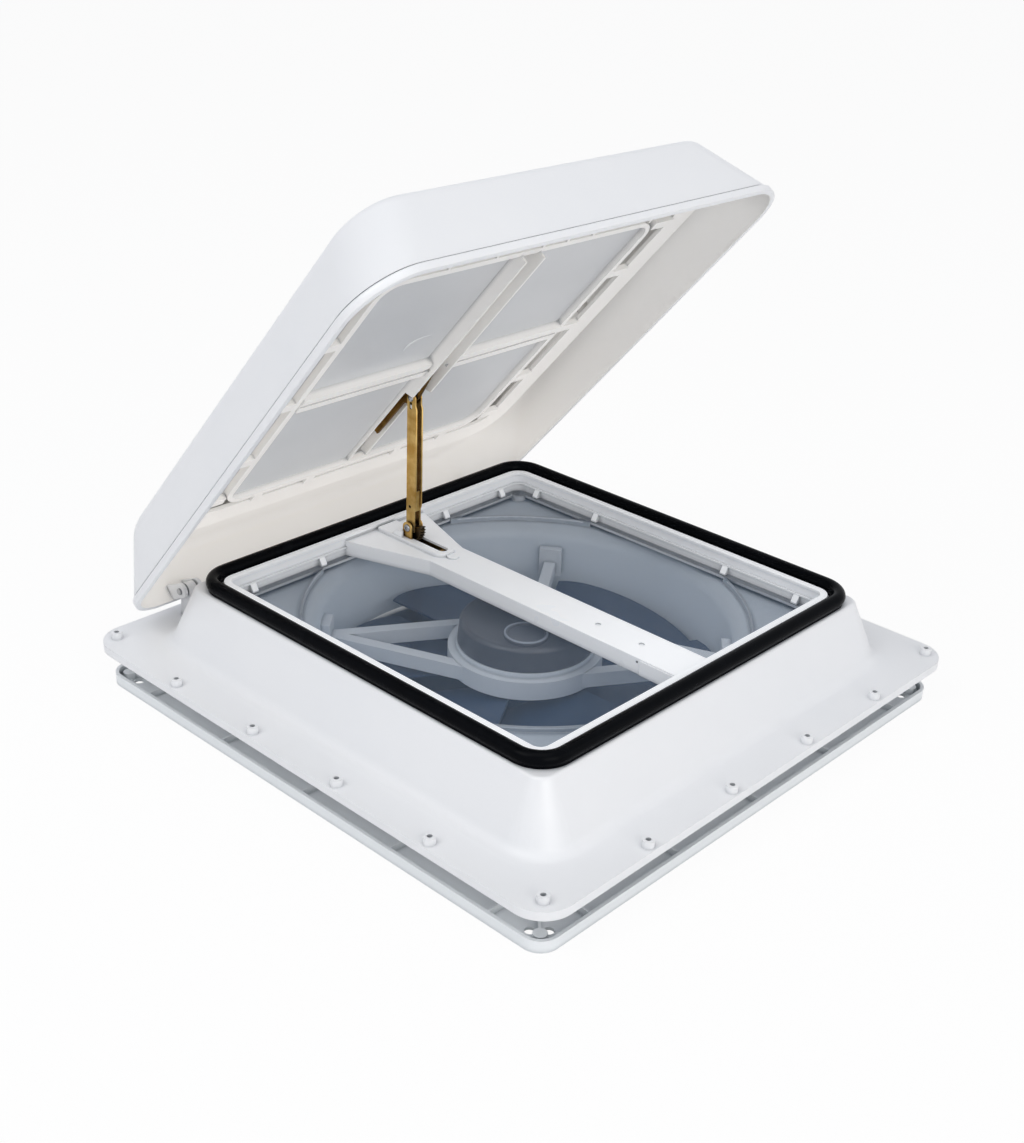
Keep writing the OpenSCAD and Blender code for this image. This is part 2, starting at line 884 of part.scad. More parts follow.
module lid_liner() {
    wall_h = 6;
    cross_half = 7.5;
    lap = 0.8;
    clip_run = land_in - field_half_x - border_w + 2 * lap;
    tab_run = field_rear - border_w + seal_mid + land_in + 2 * lap;
    groove_half = 1.8;
    color([0.93, 0.93, 0.92])
        on_lid()
            difference() {
                union() {
                    // border of the four fields
                    translate([0, -field_mid, liner_z])
                        linear_extrude(liner_t)
                            difference() {
                                rounded_rect(field_half_x + border_w, field_half_y + border_w, 22);
                                rounded_rect(field_half_x, field_half_y, 14);
                            }
                    // seal land with its upright wall
                    translate([0, seal_mid, land_z])
                        linear_extrude(land_t)
                            difference() {
                                rounded_rect(land_out, land_out, 32);
                                rounded_rect(land_in, land_in, 16);
                            }
                    translate([0, seal_mid, land_z])
                        linear_extrude(wall_h)
                            difference() {
                                rounded_rect(land_out, land_out, 32);
                                rounded_rect(land_out - 2, land_out - 2, 30);
                            }
                    // posts up to the shell
                    intersection() {
                        for (place = post_places)
                            translate([place[0], seal_mid + place[1], land_z])
                                cylinder(h = 30, r = 5);
                        on_lid_top()
                            translate([-lid_half_x, -lid_top_run, -80])
                                cube([2 * lid_half_x, lid_top_run, 80 - lid_skin]);
                    }
                    // cross rib with a groove
                    translate([-field_half_x, -field_mid - cross_half, liner_z - 1.5])
                        cube([2 * field_half_x, 2 * cross_half, liner_t + 1.5]);
                    // lengthwise rib, an open channel round the rail
                    for (side = [0, 1])
                        mirror([side, 0, 0])
                            side_plate(rib_in, rib_in + rib_wall)
                                rib_outline();
                    translate([-rib_in - rib_wall, -field_front - 1, rib_roof])
                        cube([2 * (rib_in + rib_wall), field_front + 1 - rail_tail, rib_roof_t]);
                    // clips to the seal land at both sides
                    for (side = [-1, 1], place = clip_places)
                        translate([side * (land_in + field_half_x + border_w) / 2, -place, liner_z])
                            translate([-clip_run / 2, -4, 0])
                                cube([clip_run, 8, land_z + land_t - liner_z]);
                    // tabs to the seal land at the hinge end
                    for (place = rear_tab_places)
                        translate([place - 4, -field_rear + border_w - lap, liner_z])
                            cube([8, tab_run, land_z + land_t - liner_z]);
                    // gussets at the front
                    for (place = gusset_places)
                        side_plate(place - 1, place + 1)
                            polygon([
                                [-field_front - border_w + lap, liner_z],
                                [-field_front - border_w + lap, pane_z],
                                [seal_mid - land_in - 1, land_z + land_t], [seal_mid - land_in - 1, land_z]
                            ]);
                }
                translate([-field_half_x, -field_mid - groove_half, liner_z - 2.5])
                    cube([2 * field_half_x, 2 * groove_half, 2]);
                translate([-rib_in, -field_front + 6, 20])
                    cube([2 * rib_in, field_front - field_rear - 12, rib_roof - 20]);
                for (place = rail_screw_places)
                    translate([0, -place, rib_roof - 1])
                        cylinder(h = 4, r = 1.5);
            }
}

module lid_pane() {
    grip = border_w - 1;
    color([0.6, 0.64, 0.67, 0.6])
        on_lid()
            translate([0, 0, pane_z])
                linear_extrude(pane_t)
                    difference() {
                        translate([0, -field_mid])
                            rounded_rect(field_half_x + grip, field_half_y + grip, pane_corner);
                        translate([-rib_in - rib_wall - gap, -field_front - 1 - gap])
                            square([2 * (rib_in + rib_wall + gap), field_front - field_rear + 2 + 2 * gap]);
                    }
}

// Slotted blade that the arm's pin runs in, with two feet under the rib's roof.
module lift_rail() {
    slot_r = arm_pin_d / 2 + slot_clear;
    run = slot_far - slot_near;
    slot_angle = atan2(run[1], -run[0]);
    foot_half = 5;
    tail_t = 0.9;
    color([0.72, 0.55, 0.2])
        on_lid()
            difference() {
                union() {
                    side_plate(-rail_half, rail_half)
                        difference() {
                            polygon([
                                [-rail_tail, rib_roof], [-rail_tail, rib_roof - tail_t],
                                [-rail_rear, rib_roof - tail_t], [-rail_rear, rail_low_rear],
                                [-rail_knee[0], rail_knee[1]],
                                [-rail_belly_rear[0], rail_belly_rear[1]],
                                [-rail_belly_front[0], rail_belly_front[1]],
                                [-rail_nose_low[0], rail_nose_low[1]],
                                [-rail_nose[0], rail_nose[1]], [-rail_nose[0], rib_roof]
                            ]);
                            translate([-slot_near[0], slot_near[1]])
                                circle(slot_r);
                            translate([-slot_far[0], slot_far[1]])
                                circle(slot_r);
                            translate([-slot_near[0], slot_near[1]])
                                rotate(slot_angle)
                                    translate([0, -slot_r])
                                        square([norm(run), 2 * slot_r]);
                        }
                    for (place = rail_screw_places)
                        translate([-foot_half, -place - 5, rib_roof - sheet])
                            cube([2 * foot_half, 10, sheet]);
                }
                for (place = rail_screw_places)
                    translate([0, -place, rib_roof - 4])
                        cylinder(h = 8, r = 1.5);
            }
}

module rail_screws() {
    nut_h = 1.4;
    shank = 4;
    color("silver")
        on_lid()
            for (place = rail_screw_places)
                translate([0, -place, 0]) {
                    translate([0, 0, rib_roof - shank])
                        cylinder(h = shank + rib_roof_t + nut_h, r = 1.5);
                    translate([0, 0, rib_roof + rib_roof_t])
                        cylinder(h = nut_h, r = 2.8);
                }
}

// Pin of one hinge, along X.
module hinge_pin(side) {
    color("silver")
        translate([side * hinge_x, hinge_y, hinge_z])
            rotate([0, 90, 0])
                cylinder(h = 19, d = hinge_pin_d, center = true);
}

module hinge_pin_left() {
    hinge_pin(-1);
}

module hinge_pin_right() {
    hinge_pin(1);
}

// Section of the duct and its bell mouth, as [radius, z].
module duct_section() {
    low = -24;
    bend = [duct_r + bell_round, shroud_z - bell_round];
    polygon(concat(
        [[duct_r + 2, low], [duct_r, low]],
        arc(bend, bell_round, 180, 90),
        arc(bend, bell_round - 2, 90, 180)
    ));
}

module fan_shroud() {
    mouth_r = duct_r + bell_round;
    lip_t = 1.2;
    lip_half = throat - 5.5;
    color([0.8, 0.82, 0.84])
        difference() {
            union() {
                // lip round the mouth, open at the four sides
                intersection() {
                    translate([0, 0, shroud_z - 1])
                        difference() {
                            cylinder(h = screen_z - gap - shroud_z + 1, r = mouth_r + lip_t, $fn = 180);
                            translate([0, 0, -1])
                                cylinder(h = screen_z, r = mouth_r, $fn = 180);
                        }
                    translate([-lip_half, -lip_half, 0])
                        cube([2 * lip_half, 2 * lip_half, 60]);
                }
                rotate_extrude($fn = 180)
                    duct_section();
                translate([0, 0, shroud_z - shroud_skin])
                    linear_extrude(shroud_skin)
                        difference() {
                            rounded_rect(shroud_half, shroud_half, 30);
                            circle(duct_r + bell_round - 1, $fn = 180);
                        }
            }
            for (side = [0:3])
                rotate(90 * side)
                    translate([post_at, post_at, shroud_z - shroud_skin - 1])
                        cylinder(h = shroud_skin + 2, r = 1.7);
        }
}

// Collar round the motor with V struts to the duct.
module fan_spider() {
    strut_w = 9;
    tier_z = spider_z + spider_t;
    pad_h = 23;
    color([0.86, 0.88, 0.9])
        difference() {
            union() {
                translate([0, 0, spider_z - 2])
                    cylinder(h = spider_t + 2, r = collar_r);
                translate([0, 0, tier_z])
                    cylinder(h = 4, r = collar_r - 6);
                for (i = [0:2], side = strut_spreads[i] == 0 ? [1] : [-1, 1])
                    rotate(strut_angles[i])
                        translate([duct_r - 5, 0, spider_z])
                            rotate(180 + side * strut_spreads[i])
                                translate([0, -strut_w / 2, 0])
                                    cube([duct_r - collar_r + 17, strut_w, spider_t - 1]);
                intersection() {
                    for (arm = strut_angles)
                        rotate(arm)
                            translate([duct_r - 7, -9, spider_z - 1])
                                cube([12, 18, pad_h]);
                    translate([0, 0, -10])
                        cylinder(h = 60, r = duct_r, $fn = 180);
                }
            }
            translate([0, 0, -20])
                cylinder(h = 60, r = motor_r);
        }
}

module fan_motor() {
    drum_foot = spider_z + spider_t + 4;
    drum_r = motor_r + 4;
    drum_round = 4;
    color([0.3, 0.31, 0.33])
        difference() {
            union() {
                translate([0, 0, motor_low])
                    cylinder(h = motor_top - motor_low, r = motor_r);
                // drum that stands on the collar
                rotate_extrude()
                    polygon(concat(
                        [[0, drum_foot], [drum_r, drum_foot]],
                        arc([drum_r - 1 - drum_round, motor_top - drum_round], drum_round, 0, 90),
                        [[0, motor_top]]
                    ));
            }
            translate([0, 0, motor_low - 1])
                cylinder(h = 12, r = motor_shaft_r + run_clear);
        }
}

module motor_cap() {
    color([0.4, 0.41, 0.43])
        translate([cap_place[0], cap_place[1], motor_top])
            difference() {
                cylinder(h = 2.2, r = 16);
                translate([0, 0, 1])
                    cylinder(h = 2, r = 13.5);
            }
}

// Plan of one blade, along X.
module blade_plan() {
    root = hub_r - 6;
    tip = blade_r + 8;
    polygon([
        [root, -blade_root], [blade_r, -blade_tip], [tip, -blade_root], [tip, blade_tip], [root, blade_root]
    ]);
}

module fan_rotor() {
    blade_t = 2;
    color([0.36, 0.42, 0.5])
        difference() {
            union() {
                translate([0, 0, rotor_mid - 8])
                    cylinder(h = 15.5, r = hub_r);
                translate([0, 0, rotor_mid - 11])
                    cylinder(h = 22, r = motor_shaft_r);
                intersection() {
                    for (i = [0:blade_count - 1])
                        rotate(360 / blade_count * i)
                            translate([0, 0, rotor_mid])
                                rotate([blade_pitch, 0, 0])
                                    linear_extrude(blade_t, center = true)
                                        blade_plan();
                    translate([0, 0, rotor_mid - 30])
                        cylinder(h = 60, r = blade_r);
                }
            }
            translate([0, 0, rotor_mid - 9])
                difference() {
                    cylinder(h = 6, r = hub_r - 3);
                    cylinder(h = 20, r = 8, center = true);
                }
        }
}

module rotor_nut() {
    color("silver")
        translate([0, 0, rotor_mid - 11])
            difference() {
                cylinder(h = 3, r = 6, $fn = 6);
                translate([0, 0, -1])
                    cylinder(h = 5, r = motor_shaft_r);
            }
}

// Upward-open channel with ribs, corner cells and a neck that goes up through the roof.
module trim_ring() {
    floor_t = 2.2;
    outer_wall = 2.5;
    rib_t = 1.6;
    rib_step = (trim_neck_half - 1) / 2;
    neck_top = -3;
    color([0.92, 0.93, 0.94])
        difference() {
            union() {
                translate([0, 0, trim_floor])
                    linear_extrude(floor_t)
                        difference() {
                            rounded_rect(trim_half, trim_half, trim_corner);
                            rounded_rect(trim_neck_half - neck_wall, trim_neck_half - neck_wall, 8);
                        }
                square_tube(trim_half, trim_corner, outer_wall, trim_floor, trim_top);
                square_tube(trim_neck_half, 10, neck_wall, trim_floor, neck_top);
                for (side = [0:3])
                    rotate(90 * side) {
                        for (step = [-2:2])
                            translate([trim_neck_half - 1, step * rib_step - rib_t / 2, trim_floor])
                                cube([trim_half - trim_neck_half, rib_t, trim_height - 1.5]);
                        translate([trim_neck_half - 4, trim_neck_half - 4, trim_floor])
                            rotate(45)
                                translate([0, -rib_t / 2, 0])
                                    cube([52, rib_t, trim_height - 1.5]);
                        translate([trim_half - 11, trim_half - 11, trim_floor])
                            cylinder(h = trim_height - 1.5, r = 4.5);
                    }
                for (side = [-1, 1], y = [-trim_screw_y, trim_screw_y])
                    translate([side * (trim_neck_half + 0.25), y, trim_screw_z])
                        rotate([0, 90, 0])
                            cylinder(h = 2.5, r = 6, center = true);
            }
            for (side = [0:3])
                rotate(90 * side)
                    for (flip = [0, 1])
                        mirror([flip, -flip, 0])
                            translate([trim_half - 12.5, trim_half - 20.5, trim_floor - 1])
                                cylinder(h = floor_t + 2, r = 3.4);
            for (side = [-1, 1], y = [-trim_screw_y, trim_screw_y])
                translate([side * trim_neck_half, y, trim_screw_z])
                    rotate([0, 90, 0])
                        cylinder(h = 10, r = 1.9, center = true);
        }
}

// Screws from the trim's neck into the base's neck.
module trim_screws() {
    color("silver")
        for (side = [-1, 1], y = [-trim_screw_y, trim_screw_y])
            translate([side * (trim_neck_half - neck_wall), y, trim_screw_z])
                rotate([0, side * 90, 0]) {
                    translate([0, 0, -1.6])
                        cylinder(h = 1.6, r = 3.4);
                    translate([0, 0, -0.5])
                        cylinder(h = neck_half - trim_neck_half + neck_wall + 2, r = 1.6);
                }
}

module shroud_screws() {
    color("silver")
        for (side = [0:3])
            rotate(90 * side)
                translate([post_at, post_at, shroud_z - shroud_skin]) {
                    translate([0, 0, -2])
                        cylinder(h = 2, r = 3.2);
                    translate([0, 0, -1])
                        cylinder(h = shroud_skin + 4, r = 1.5);
                }
}

// Rubber bush in the base's neck for the fan's leads.
module lead_grommet() {
    bead_t = 1;
    color([0.1, 0.1, 0.1])
        translate([neck_half - neck_wall / 2, 40, trim_screw_z])
            rotate([0, 90, 0])
                difference() {
                    union() {
                        cylinder(h = neck_wall, r = 4, center = true);
                        for (side = [-1, 1])
                            translate([0, 0, side * (neck_wall + bead_t) / 2])
                                cylinder(h = bead_t, r = 5.5, center = true);
                    }
                    cylinder(h = neck_wall + 3 * bead_t, r = 2, center = true);
                }
}

base_flange();
lid_seal();
inner_frame();
fly_screen();
cross_beam();
lift_bracket();
pivot_screw();
worm_shaft();
shaft_coupling();
lift_motor();
lift_arm();
arm_sector();
arm_pin();
lid_shell();
lid_liner();
lid_pane();
lift_rail();
rail_screws();
hinge_pin_left();
hinge_pin_right();
fan_shroud();
fan_spider();
fan_motor();
motor_cap();
fan_rotor();
rotor_nut();
trim_ring();
trim_screws();
shroud_screws();
lead_grommet();
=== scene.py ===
"""Looks of a caravan roof vent: its finishes, the pieces modelled over the CAD frame, and the studio."""

import logging
import math
from dataclasses import dataclass, field
from enum import Enum
from typing import Any, Sequence

import bmesh
import bpy
from mathutils import Matrix, Vector


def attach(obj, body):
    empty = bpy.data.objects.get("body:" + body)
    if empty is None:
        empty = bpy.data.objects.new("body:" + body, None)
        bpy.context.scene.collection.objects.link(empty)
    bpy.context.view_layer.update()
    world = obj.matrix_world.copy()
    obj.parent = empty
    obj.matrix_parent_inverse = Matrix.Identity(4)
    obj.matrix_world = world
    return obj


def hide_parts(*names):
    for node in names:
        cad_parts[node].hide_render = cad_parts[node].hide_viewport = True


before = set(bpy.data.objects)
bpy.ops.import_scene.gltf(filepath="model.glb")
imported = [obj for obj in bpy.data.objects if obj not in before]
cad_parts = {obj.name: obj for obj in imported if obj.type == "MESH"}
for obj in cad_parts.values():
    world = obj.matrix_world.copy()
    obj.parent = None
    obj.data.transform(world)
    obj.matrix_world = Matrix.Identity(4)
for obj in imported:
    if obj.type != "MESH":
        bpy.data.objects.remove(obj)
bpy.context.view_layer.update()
LOG = logging.getLogger("roof_vent")
MM = 0.001
# Points closer than this are one point.
WELD_GAP = 0.01 * MM
AO_SAMPLES = 6
BEVEL_SAMPLES = 4

Piece = bpy.types.Object
Node = bpy.types.Node
Socket = bpy.types.NodeSocket
Pair = tuple[float, float]
Triple = tuple[float, float, float]


class Slot(Enum):
    """Material slots of the part's record, named where the modelled pieces are fitted."""

    WHITE = "white_plastic"
    ZINC = "yellow_zinc"
    STEEL = "bright_steel"
    DARK_STEEL = "dark_steel"
    PANE = "grey_pane"
    GREY = "grey_plastic"
    DARK = "dark_plastic"
    FAN = "fan_plastic"


class Body(Enum):
    """Moving bodies of the part's record."""

    BASE = "base"
    LID = "lid"
    ARM = "arm"
    WORM = "worm"
    ROTOR = "rotor"


def linear(code: str) -> tuple[float, float, float, float]:
    """Turns an sRGB hex colour into the linear values of a shader.

    Args:
        code: Colour as #RRGGBB.

    Returns:
        Linear red, green and blue with full alpha.
    """
    parts = [int(code[i : i + 2], 16) / 255 for i in (1, 3, 5)]
    red, green, blue = [p / 12.92 if p <= 0.04045 else ((p + 0.055) / 1.055) ** 2.4 for p in parts]
    return red, green, blue, 1.0


def per_metre(size_mm: float) -> float:
    """Scale of a texture whose features have that size in millimetres."""
    return 1.0 / (size_mm * MM)


def circle(count: int) -> list[float]:
    """Angles of evenly spaced steps round a full turn."""
    return [2 * math.pi * step / count for step in range(count)]


def polar(radius: float, angle: float, height: float = 0.0) -> Vector:
    """Point at a radius, an angle about the Z axis and a height."""
    return Vector((radius * math.cos(angle), radius * math.sin(angle), height))


@dataclass
class Painter:
    """Adds shader nodes to one node tree."""

    tree: bpy.types.NodeTree

    def node(
        self,
        kind: str,
        settings: dict[Any, Any] | None = None,
        links: dict[Any, Socket] | None = None,
    ) -> Node:
        """Adds a shader node.

        Args:
            kind: Blender's name of the node's type.
            settings: Values of its properties or inputs, by name or input number.
            links: Outputs that go into its inputs, by name or input number.

        Returns:
            The new node.
        """
        made = self.tree.nodes.new(kind)
        for name, value in (settings or {}).items():
            if isinstance(name, str) and hasattr(made, name):
                setattr(made, name, value)
            else:
                made.inputs[name].default_value = value
        for name, source in (links or {}).items():
            self.link(source, made, name)
        return made

    def link(self, source: Socket, goal: Node, name: str | int) -> None:
        """Leads an output into an input of a node."""
        self.tree.links.new(source, goal.inputs[name])

    def place(self) -> Socket:
        """Object coordinates."""
        return self.node("ShaderNodeTexCoord").outputs["Object"]

    def noise(self, place: Socket, size_mm: float, detail: float) -> Socket:
        """Noise with features of a size."""
        settings = {"Scale": per_metre(size_mm), "Detail": detail}
        return self.node("ShaderNodeTexNoise", settings, {"Vector": place}).outputs["Fac"]

    def span(self, value: Socket, to: Pair, of: Pair = (0.0, 1.0)) -> Socket:
        """Value that crosses the limits in to while another one crosses the limits in of."""
        settings = {"From Min": of[0], "From Max": of[1], "To Min": to[0], "To Max": to[1]}
        return self.node("ShaderNodeMapRange", settings, {"Value": value}).outputs["Result"]

    def reckon(self, operation: str, first: Socket, second: Socket) -> Socket:
        """Result of a sum on two values."""
        return self.node("ShaderNodeMath", {"operation": operation}, {0: first, 1: second}).outputs["Value"]

    def blend(self, share: Socket, first: str | Socket, second: str | Socket) -> Socket:
        """Blends two colours.

        Args:
            share: Share of the second colour.
            first: Hex code or output.
            second: Hex code or output.

        Returns:
            The mixed colour.
        """
        mix = self.node("ShaderNodeMix", {"data_type": "RGBA"}, {0: share})
        for number, colour in ((6, first), (7, second)):
            if isinstance(colour, str):
                mix.inputs[number].default_value = linear(colour)
            else:
                self.link(colour, mix, number)
        return mix.outputs[2]

    def openness(self, reach_mm: float) -> Socket:
        """How open the surface lies to the air within a reach."""
        settings = {"samples": AO_SAMPLES, "Distance": reach_mm * MM}
        return self.node("ShaderNodeAmbientOcclusion", settings).outputs["AO"]

    def shade_crevices(self, body: Socket, tone: str, reach_mm: float, limits: Pair) -> Socket:
        """Colour with a painted shade tone in its crevices, between two limits of openness."""
        return self.blend(self.span(self.openness(reach_mm), (0.0, 1.0), limits), tone, body)

    def rounding(self, edge_mm: float) -> Socket:
        """Normal of a surface whose edges are rounded by a radius."""
        settings = {"samples": BEVEL_SAMPLES, "Radius": edge_mm * MM}
        return self.node("ShaderNodeBevel", settings).outputs["Normal"]

    def edge_wear_and_highlight(self, body: Socket, edge: str, soft: Socket, limits: Pair, most: float = 0.5) -> Socket:
        """Colour with another tone on its edges: worn plating on steel, a painted highlight on plastic.

        Args:
            body: Colour away from the edges.
            edge: Colour of the edges.
            soft: Normal with rounded edges.
            limits: How far both normals agree where the edge tone begins and where it is full.
            most: Share of the edge's colour at its fullest.

        Returns:
            The mixed colour.
        """
        flat = self.node("ShaderNodeNewGeometry").outputs["Normal"]
        facing = self.node("ShaderNodeVectorMath", {"operation": "DOT_PRODUCT"}, {0: soft, 1: flat})
        return self.blend(self.span(facing.outputs["Value"], (0.0, most), limits), body, edge)

    def bump(
        self, shader: Node, height: Socket, strength: float, depth_mm: float, soft: Socket | None = None
    ) -> None:
        """Puts a relief on a shader.

        Args:
            shader: The principled shader.
            height: Height of the relief.
            strength: How much of it shows.
            depth_mm: Its depth.
            soft: Normal under the relief, if it isn't the surface's own.
        """
        settings = {"Strength": strength, "Distance": depth_mm * MM}
        made = self.node("ShaderNodeBump", settings, {"Height": height})
        if soft is not None:
            self.link(soft, made, "Normal")
        self.link(made.outputs["Normal"], shader, "Normal")

    def fade(self, place: Socket, heights_mm: Pair, to: Pair) -> Socket:
        """Value that changes between two heights over the roof."""
        height = self.node("ShaderNodeSeparateXYZ", {}, {"Vector": place}).outputs["Z"]
        return self.span(height, to, (heights_mm[0] * MM, heights_mm[1] * MM))

    def seen(self) -> Socket:
        """Tells rays that look at a surface from rays that only light it.

        Returns:
            One or zero.
        """
        rays = self.node("ShaderNodeLightPath")
        direct = self.reckon("MAXIMUM", rays.outputs["Is Camera Ray"], rays.outputs["Is Glossy Ray"])
        return self.reckon("MAXIMUM", direct, rays.outputs["Is Transmission Ray"])


@dataclass(frozen=True)
class Finish:
    """What every finish has: a name, two tones of one colour and a gloss."""

    name: str
    colour: str
    tone: str
    roughness: float
    ior: float = 1.5

    def material(self) -> bpy.types.Material:
        """Makes the material once and gives the same one after that.

        Returns:
            The finish as a Blender material.
        """
        made = bpy.data.materials.get(self.name)
        if made is None:
            made = bpy.data.materials.new(self.name)
            made.use_nodes = True
            self.draw(Painter(made.node_tree), made.node_tree.nodes["Principled BSDF"])
        return made

    def gloss(self, duller: float, shinier: float) -> Pair:
        """Limits of the roughness about its middle value."""
        return self.roughness - shinier, self.roughness + duller

    def draw(self, paint: Painter, shader: Node) -> None:
        """Draws the finish in a new material.

        Args:
            paint: Painter of the material's nodes.
            shader: Its principled shader.
        """
        raise NotImplementedError


@dataclass(frozen=True)
class MouldedPlastic(Finish):
    """Injection-moulded plastic: slow flow tones, a fine spark-eroded grain and softly rounded edges with a
    painted highlight.
    """

    flow_mm: float = 70.0
    flow_detail: float = 3.0
    flow_limits: Pair = (0.3, 0.7)
    grain_mm: float = 0.9
    grain_detail: float = 2.0
    grain_depth_mm: float = 0.012
    grain_strength: float = 0.6
    edge_mm: float = 0.5
    # Painted highlight: the edge tone along the rounded edges.
    edge: str = "#FFFFFF"
    edge_limits: Pair = (0.98, 0.75)
    gloss_spread: float = 0.08
    # Painted shade: the crevice tone where the surface is closed in.
    crevice_shade: str = "#8E9297"
    crevice_shade_mm: float = 5.0
    crevice_shade_limits: Pair = (0.25, 0.8)
    # Painted glow: emission where the surface lies open, dimmed towards fade higher up.
    painted_glow: float = 0.0
    painted_glow_tone: str = "#FFF9F3"
    painted_glow_mm: float = 40.0
    painted_glow_limits: Pair = (0.1, 0.9)
    fade: float = 1.0
    fade_mm: Pair = (60.0, 290.0)

    def draw(self, paint: Painter, shader: Node) -> None:
        """Draws flow tones, painted shade in the crevices, painted highlights on the edges, gloss, grain
        and a painted glow.

        Args:
            paint: Painter of the material's nodes.
            shader: Its principled shader.
        """
        place = paint.place()
        flow = paint.noise(place, self.flow_mm, self.flow_detail)
        body = paint.blend(flow, self.colour, self.tone)
        # Painted shade: darker where the surface is closed in.
        crevice_shaded = paint.shade_crevices(body, self.crevice_shade, self.crevice_shade_mm, self.crevice_shade_limits)
        soft = paint.rounding(self.edge_mm)
        # Painted highlight: a paler tone along the rounded edges.
        paint.link(paint.edge_wear_and_highlight(crevice_shaded, self.edge, soft, self.edge_limits), shader, "Base Color")
        gloss = paint.span(flow, self.gloss(self.gloss_spread, self.gloss_spread), self.flow_limits)
        paint.link(gloss, shader, "Roughness")
        grain = paint.noise(place, self.grain_mm, self.grain_detail)
        paint.bump(shader, grain, self.grain_strength, self.grain_depth_mm, soft)
        shader.inputs["IOR"].default_value = self.ior
        # Painted glow: emission where the surface lies open, dimmed with height.
        if self.painted_glow:
            glow_where_open = paint.span(paint.openness(self.painted_glow_mm), (0.0, self.painted_glow), self.painted_glow_limits)
            dim = paint.fade(place, self.fade_mm, (1.0, self.fade))
            shader.inputs["Emission Color"].default_value = linear(self.painted_glow_tone)
            paint.link(paint.reckon("MULTIPLY", glow_where_open, dim), shader, "Emission Strength")


@dataclass(frozen=True)
class ExtrudedRubber(Finish):
    """Extruded sponge rubber: near black, satin, with a thin bloom and dust in its pores."""

    bloom_mm: float = 14.0
    bloom_detail: float = 4.0
    bloom_limits: Pair = (0.3, 0.7)
    duller: float = 0.1
    shinier: float = 0.06
    pore_mm: float = 0.7
    pore_detail: float = 2.0
    pore_depth_mm: float = 0.02
    pore_strength: float = 0.5
    specular: float = 0.035

    def draw(self, paint: Painter, shader: Node) -> None:
        """Draws the bloom, its duller patches and the pores.

        Args:
            paint: Painter of the material's nodes.
            shader: Its principled shader.
        """
        place = paint.place()
        bloom = paint.noise(place, self.bloom_mm, self.bloom_detail)
        paint.link(paint.blend(bloom, self.colour, self.tone), shader, "Base Color")
        gloss = paint.span(bloom, self.gloss(self.duller, self.shinier), self.bloom_limits)
        paint.link(gloss, shader, "Roughness")
        pores = paint.noise(place, self.pore_mm, self.pore_detail)
        paint.bump(shader, pores, self.pore_strength, self.pore_depth_mm)
        shader.inputs["IOR"].default_value = self.ior
        shader.inputs["Specular IOR Level"].default_value = self.specular


@dataclass(frozen=True)
class PlatedSteel(Finish):
    """Pressed and plated steel: cloudy passivation colours, fine drawing lines and bright worn edges."""

    cloud_mm: float = 9.0
    cloud_detail: float = 4.0
    cloud_limits: Pair = (0.35, 0.65)
    line_mm: float = 0.5
    line_detail: float = 2.0
    line_depth_mm: float = 0.01
    line_strength: float = 0.35
    duller: float = 0.14
    shinier: float = 0.1
    edge: str = "#E8E4D8"
    edge_mm: float = 0.3
    edge_limits: Pair = (0.97, 0.75)
    # Painted shade: the crevice tone in the crevices.
    crevice_shade: str = "#3A3C40"
    crevice_shade_mm: float = 7.0
    crevice_shade_limits: Pair = (0.35, 0.85)
    stretch: Triple = (1.0, 1.0, 0.06)

    def draw(self, paint: Painter, shader: Node) -> None:
        """Draws the passivation clouds, painted shade in the crevices, worn edges and drawing lines.

        Args:
            paint: Painter of the material's nodes.
            shader: Its principled shader.
        """
        place = paint.place()
        cloud = paint.noise(place, self.cloud_mm, self.cloud_detail)
        body = paint.blend(paint.span(cloud, (0.0, 1.0), self.cloud_limits), self.colour, self.tone)
        # Painted shade: darker in the crevices.
        plating_shaded = paint.shade_crevices(body, self.crevice_shade, self.crevice_shade_mm, self.crevice_shade_limits)
        soft = paint.rounding(self.edge_mm)
        paint.link(paint.edge_wear_and_highlight(plating_shaded, self.edge, soft, self.edge_limits), shader, "Base Color")
        shader.inputs["Metallic"].default_value = 1.0
        drawn = paint.node("ShaderNodeMapping", {"Scale": self.stretch}, {"Vector": place})
        lines = paint.noise(drawn.outputs["Vector"], self.line_mm, self.line_detail)
        paint.link(paint.span(lines, self.gloss(self.duller, self.shinier)), shader, "Roughness")
        paint.bump(shader, lines, self.line_strength, self.line_depth_mm, soft)


@dataclass(frozen=True)
class SmokeSheet(Finish):
    """Thin tinted acrylic sheet: see-through, glossy, with faint mould ripples."""

    alpha: float = 0.6
    ripple_mm: float = 45.0
    ripple_detail: float = 2.0
    ripple_depth_mm: float = 0.3
    ripple_strength: float = 0.2
    gloss_spread: float = 0.05
    # Painted glow of the sheet, fading out between the heights of fade_mm.
    painted_glow: float = 0.11
    painted_glow_tone: str = "#FFFFFF"
    fade_mm: Pair = (130.0, 260.0)

    def draw(self, paint: Painter, shader: Node) -> None:
        """Draws the tint, the ripples, the gloss and a painted glow that fades out between two heights.

        Args:
            paint: Painter of the material's nodes.
            shader: Its principled shader.
        """
        place = paint.place()
        ripple = paint.noise(place, self.ripple_mm, self.ripple_detail)
        paint.link(paint.blend(ripple, self.colour, self.tone), shader, "Base Color")
        gloss = paint.span(ripple, self.gloss(self.gloss_spread, self.gloss_spread))
        paint.link(gloss, shader, "Roughness")
        paint.bump(shader, ripple, self.ripple_strength, self.ripple_depth_mm)
        shader.inputs["IOR"].default_value = self.ior
        shader.inputs["Alpha"].default_value = self.alpha
        shader.inputs["Emission Color"].default_value = linear(self.painted_glow_tone)
        paint.link(paint.fade(place, self.fade_mm, (self.painted_glow, 0.0)), shader, "Emission Strength")


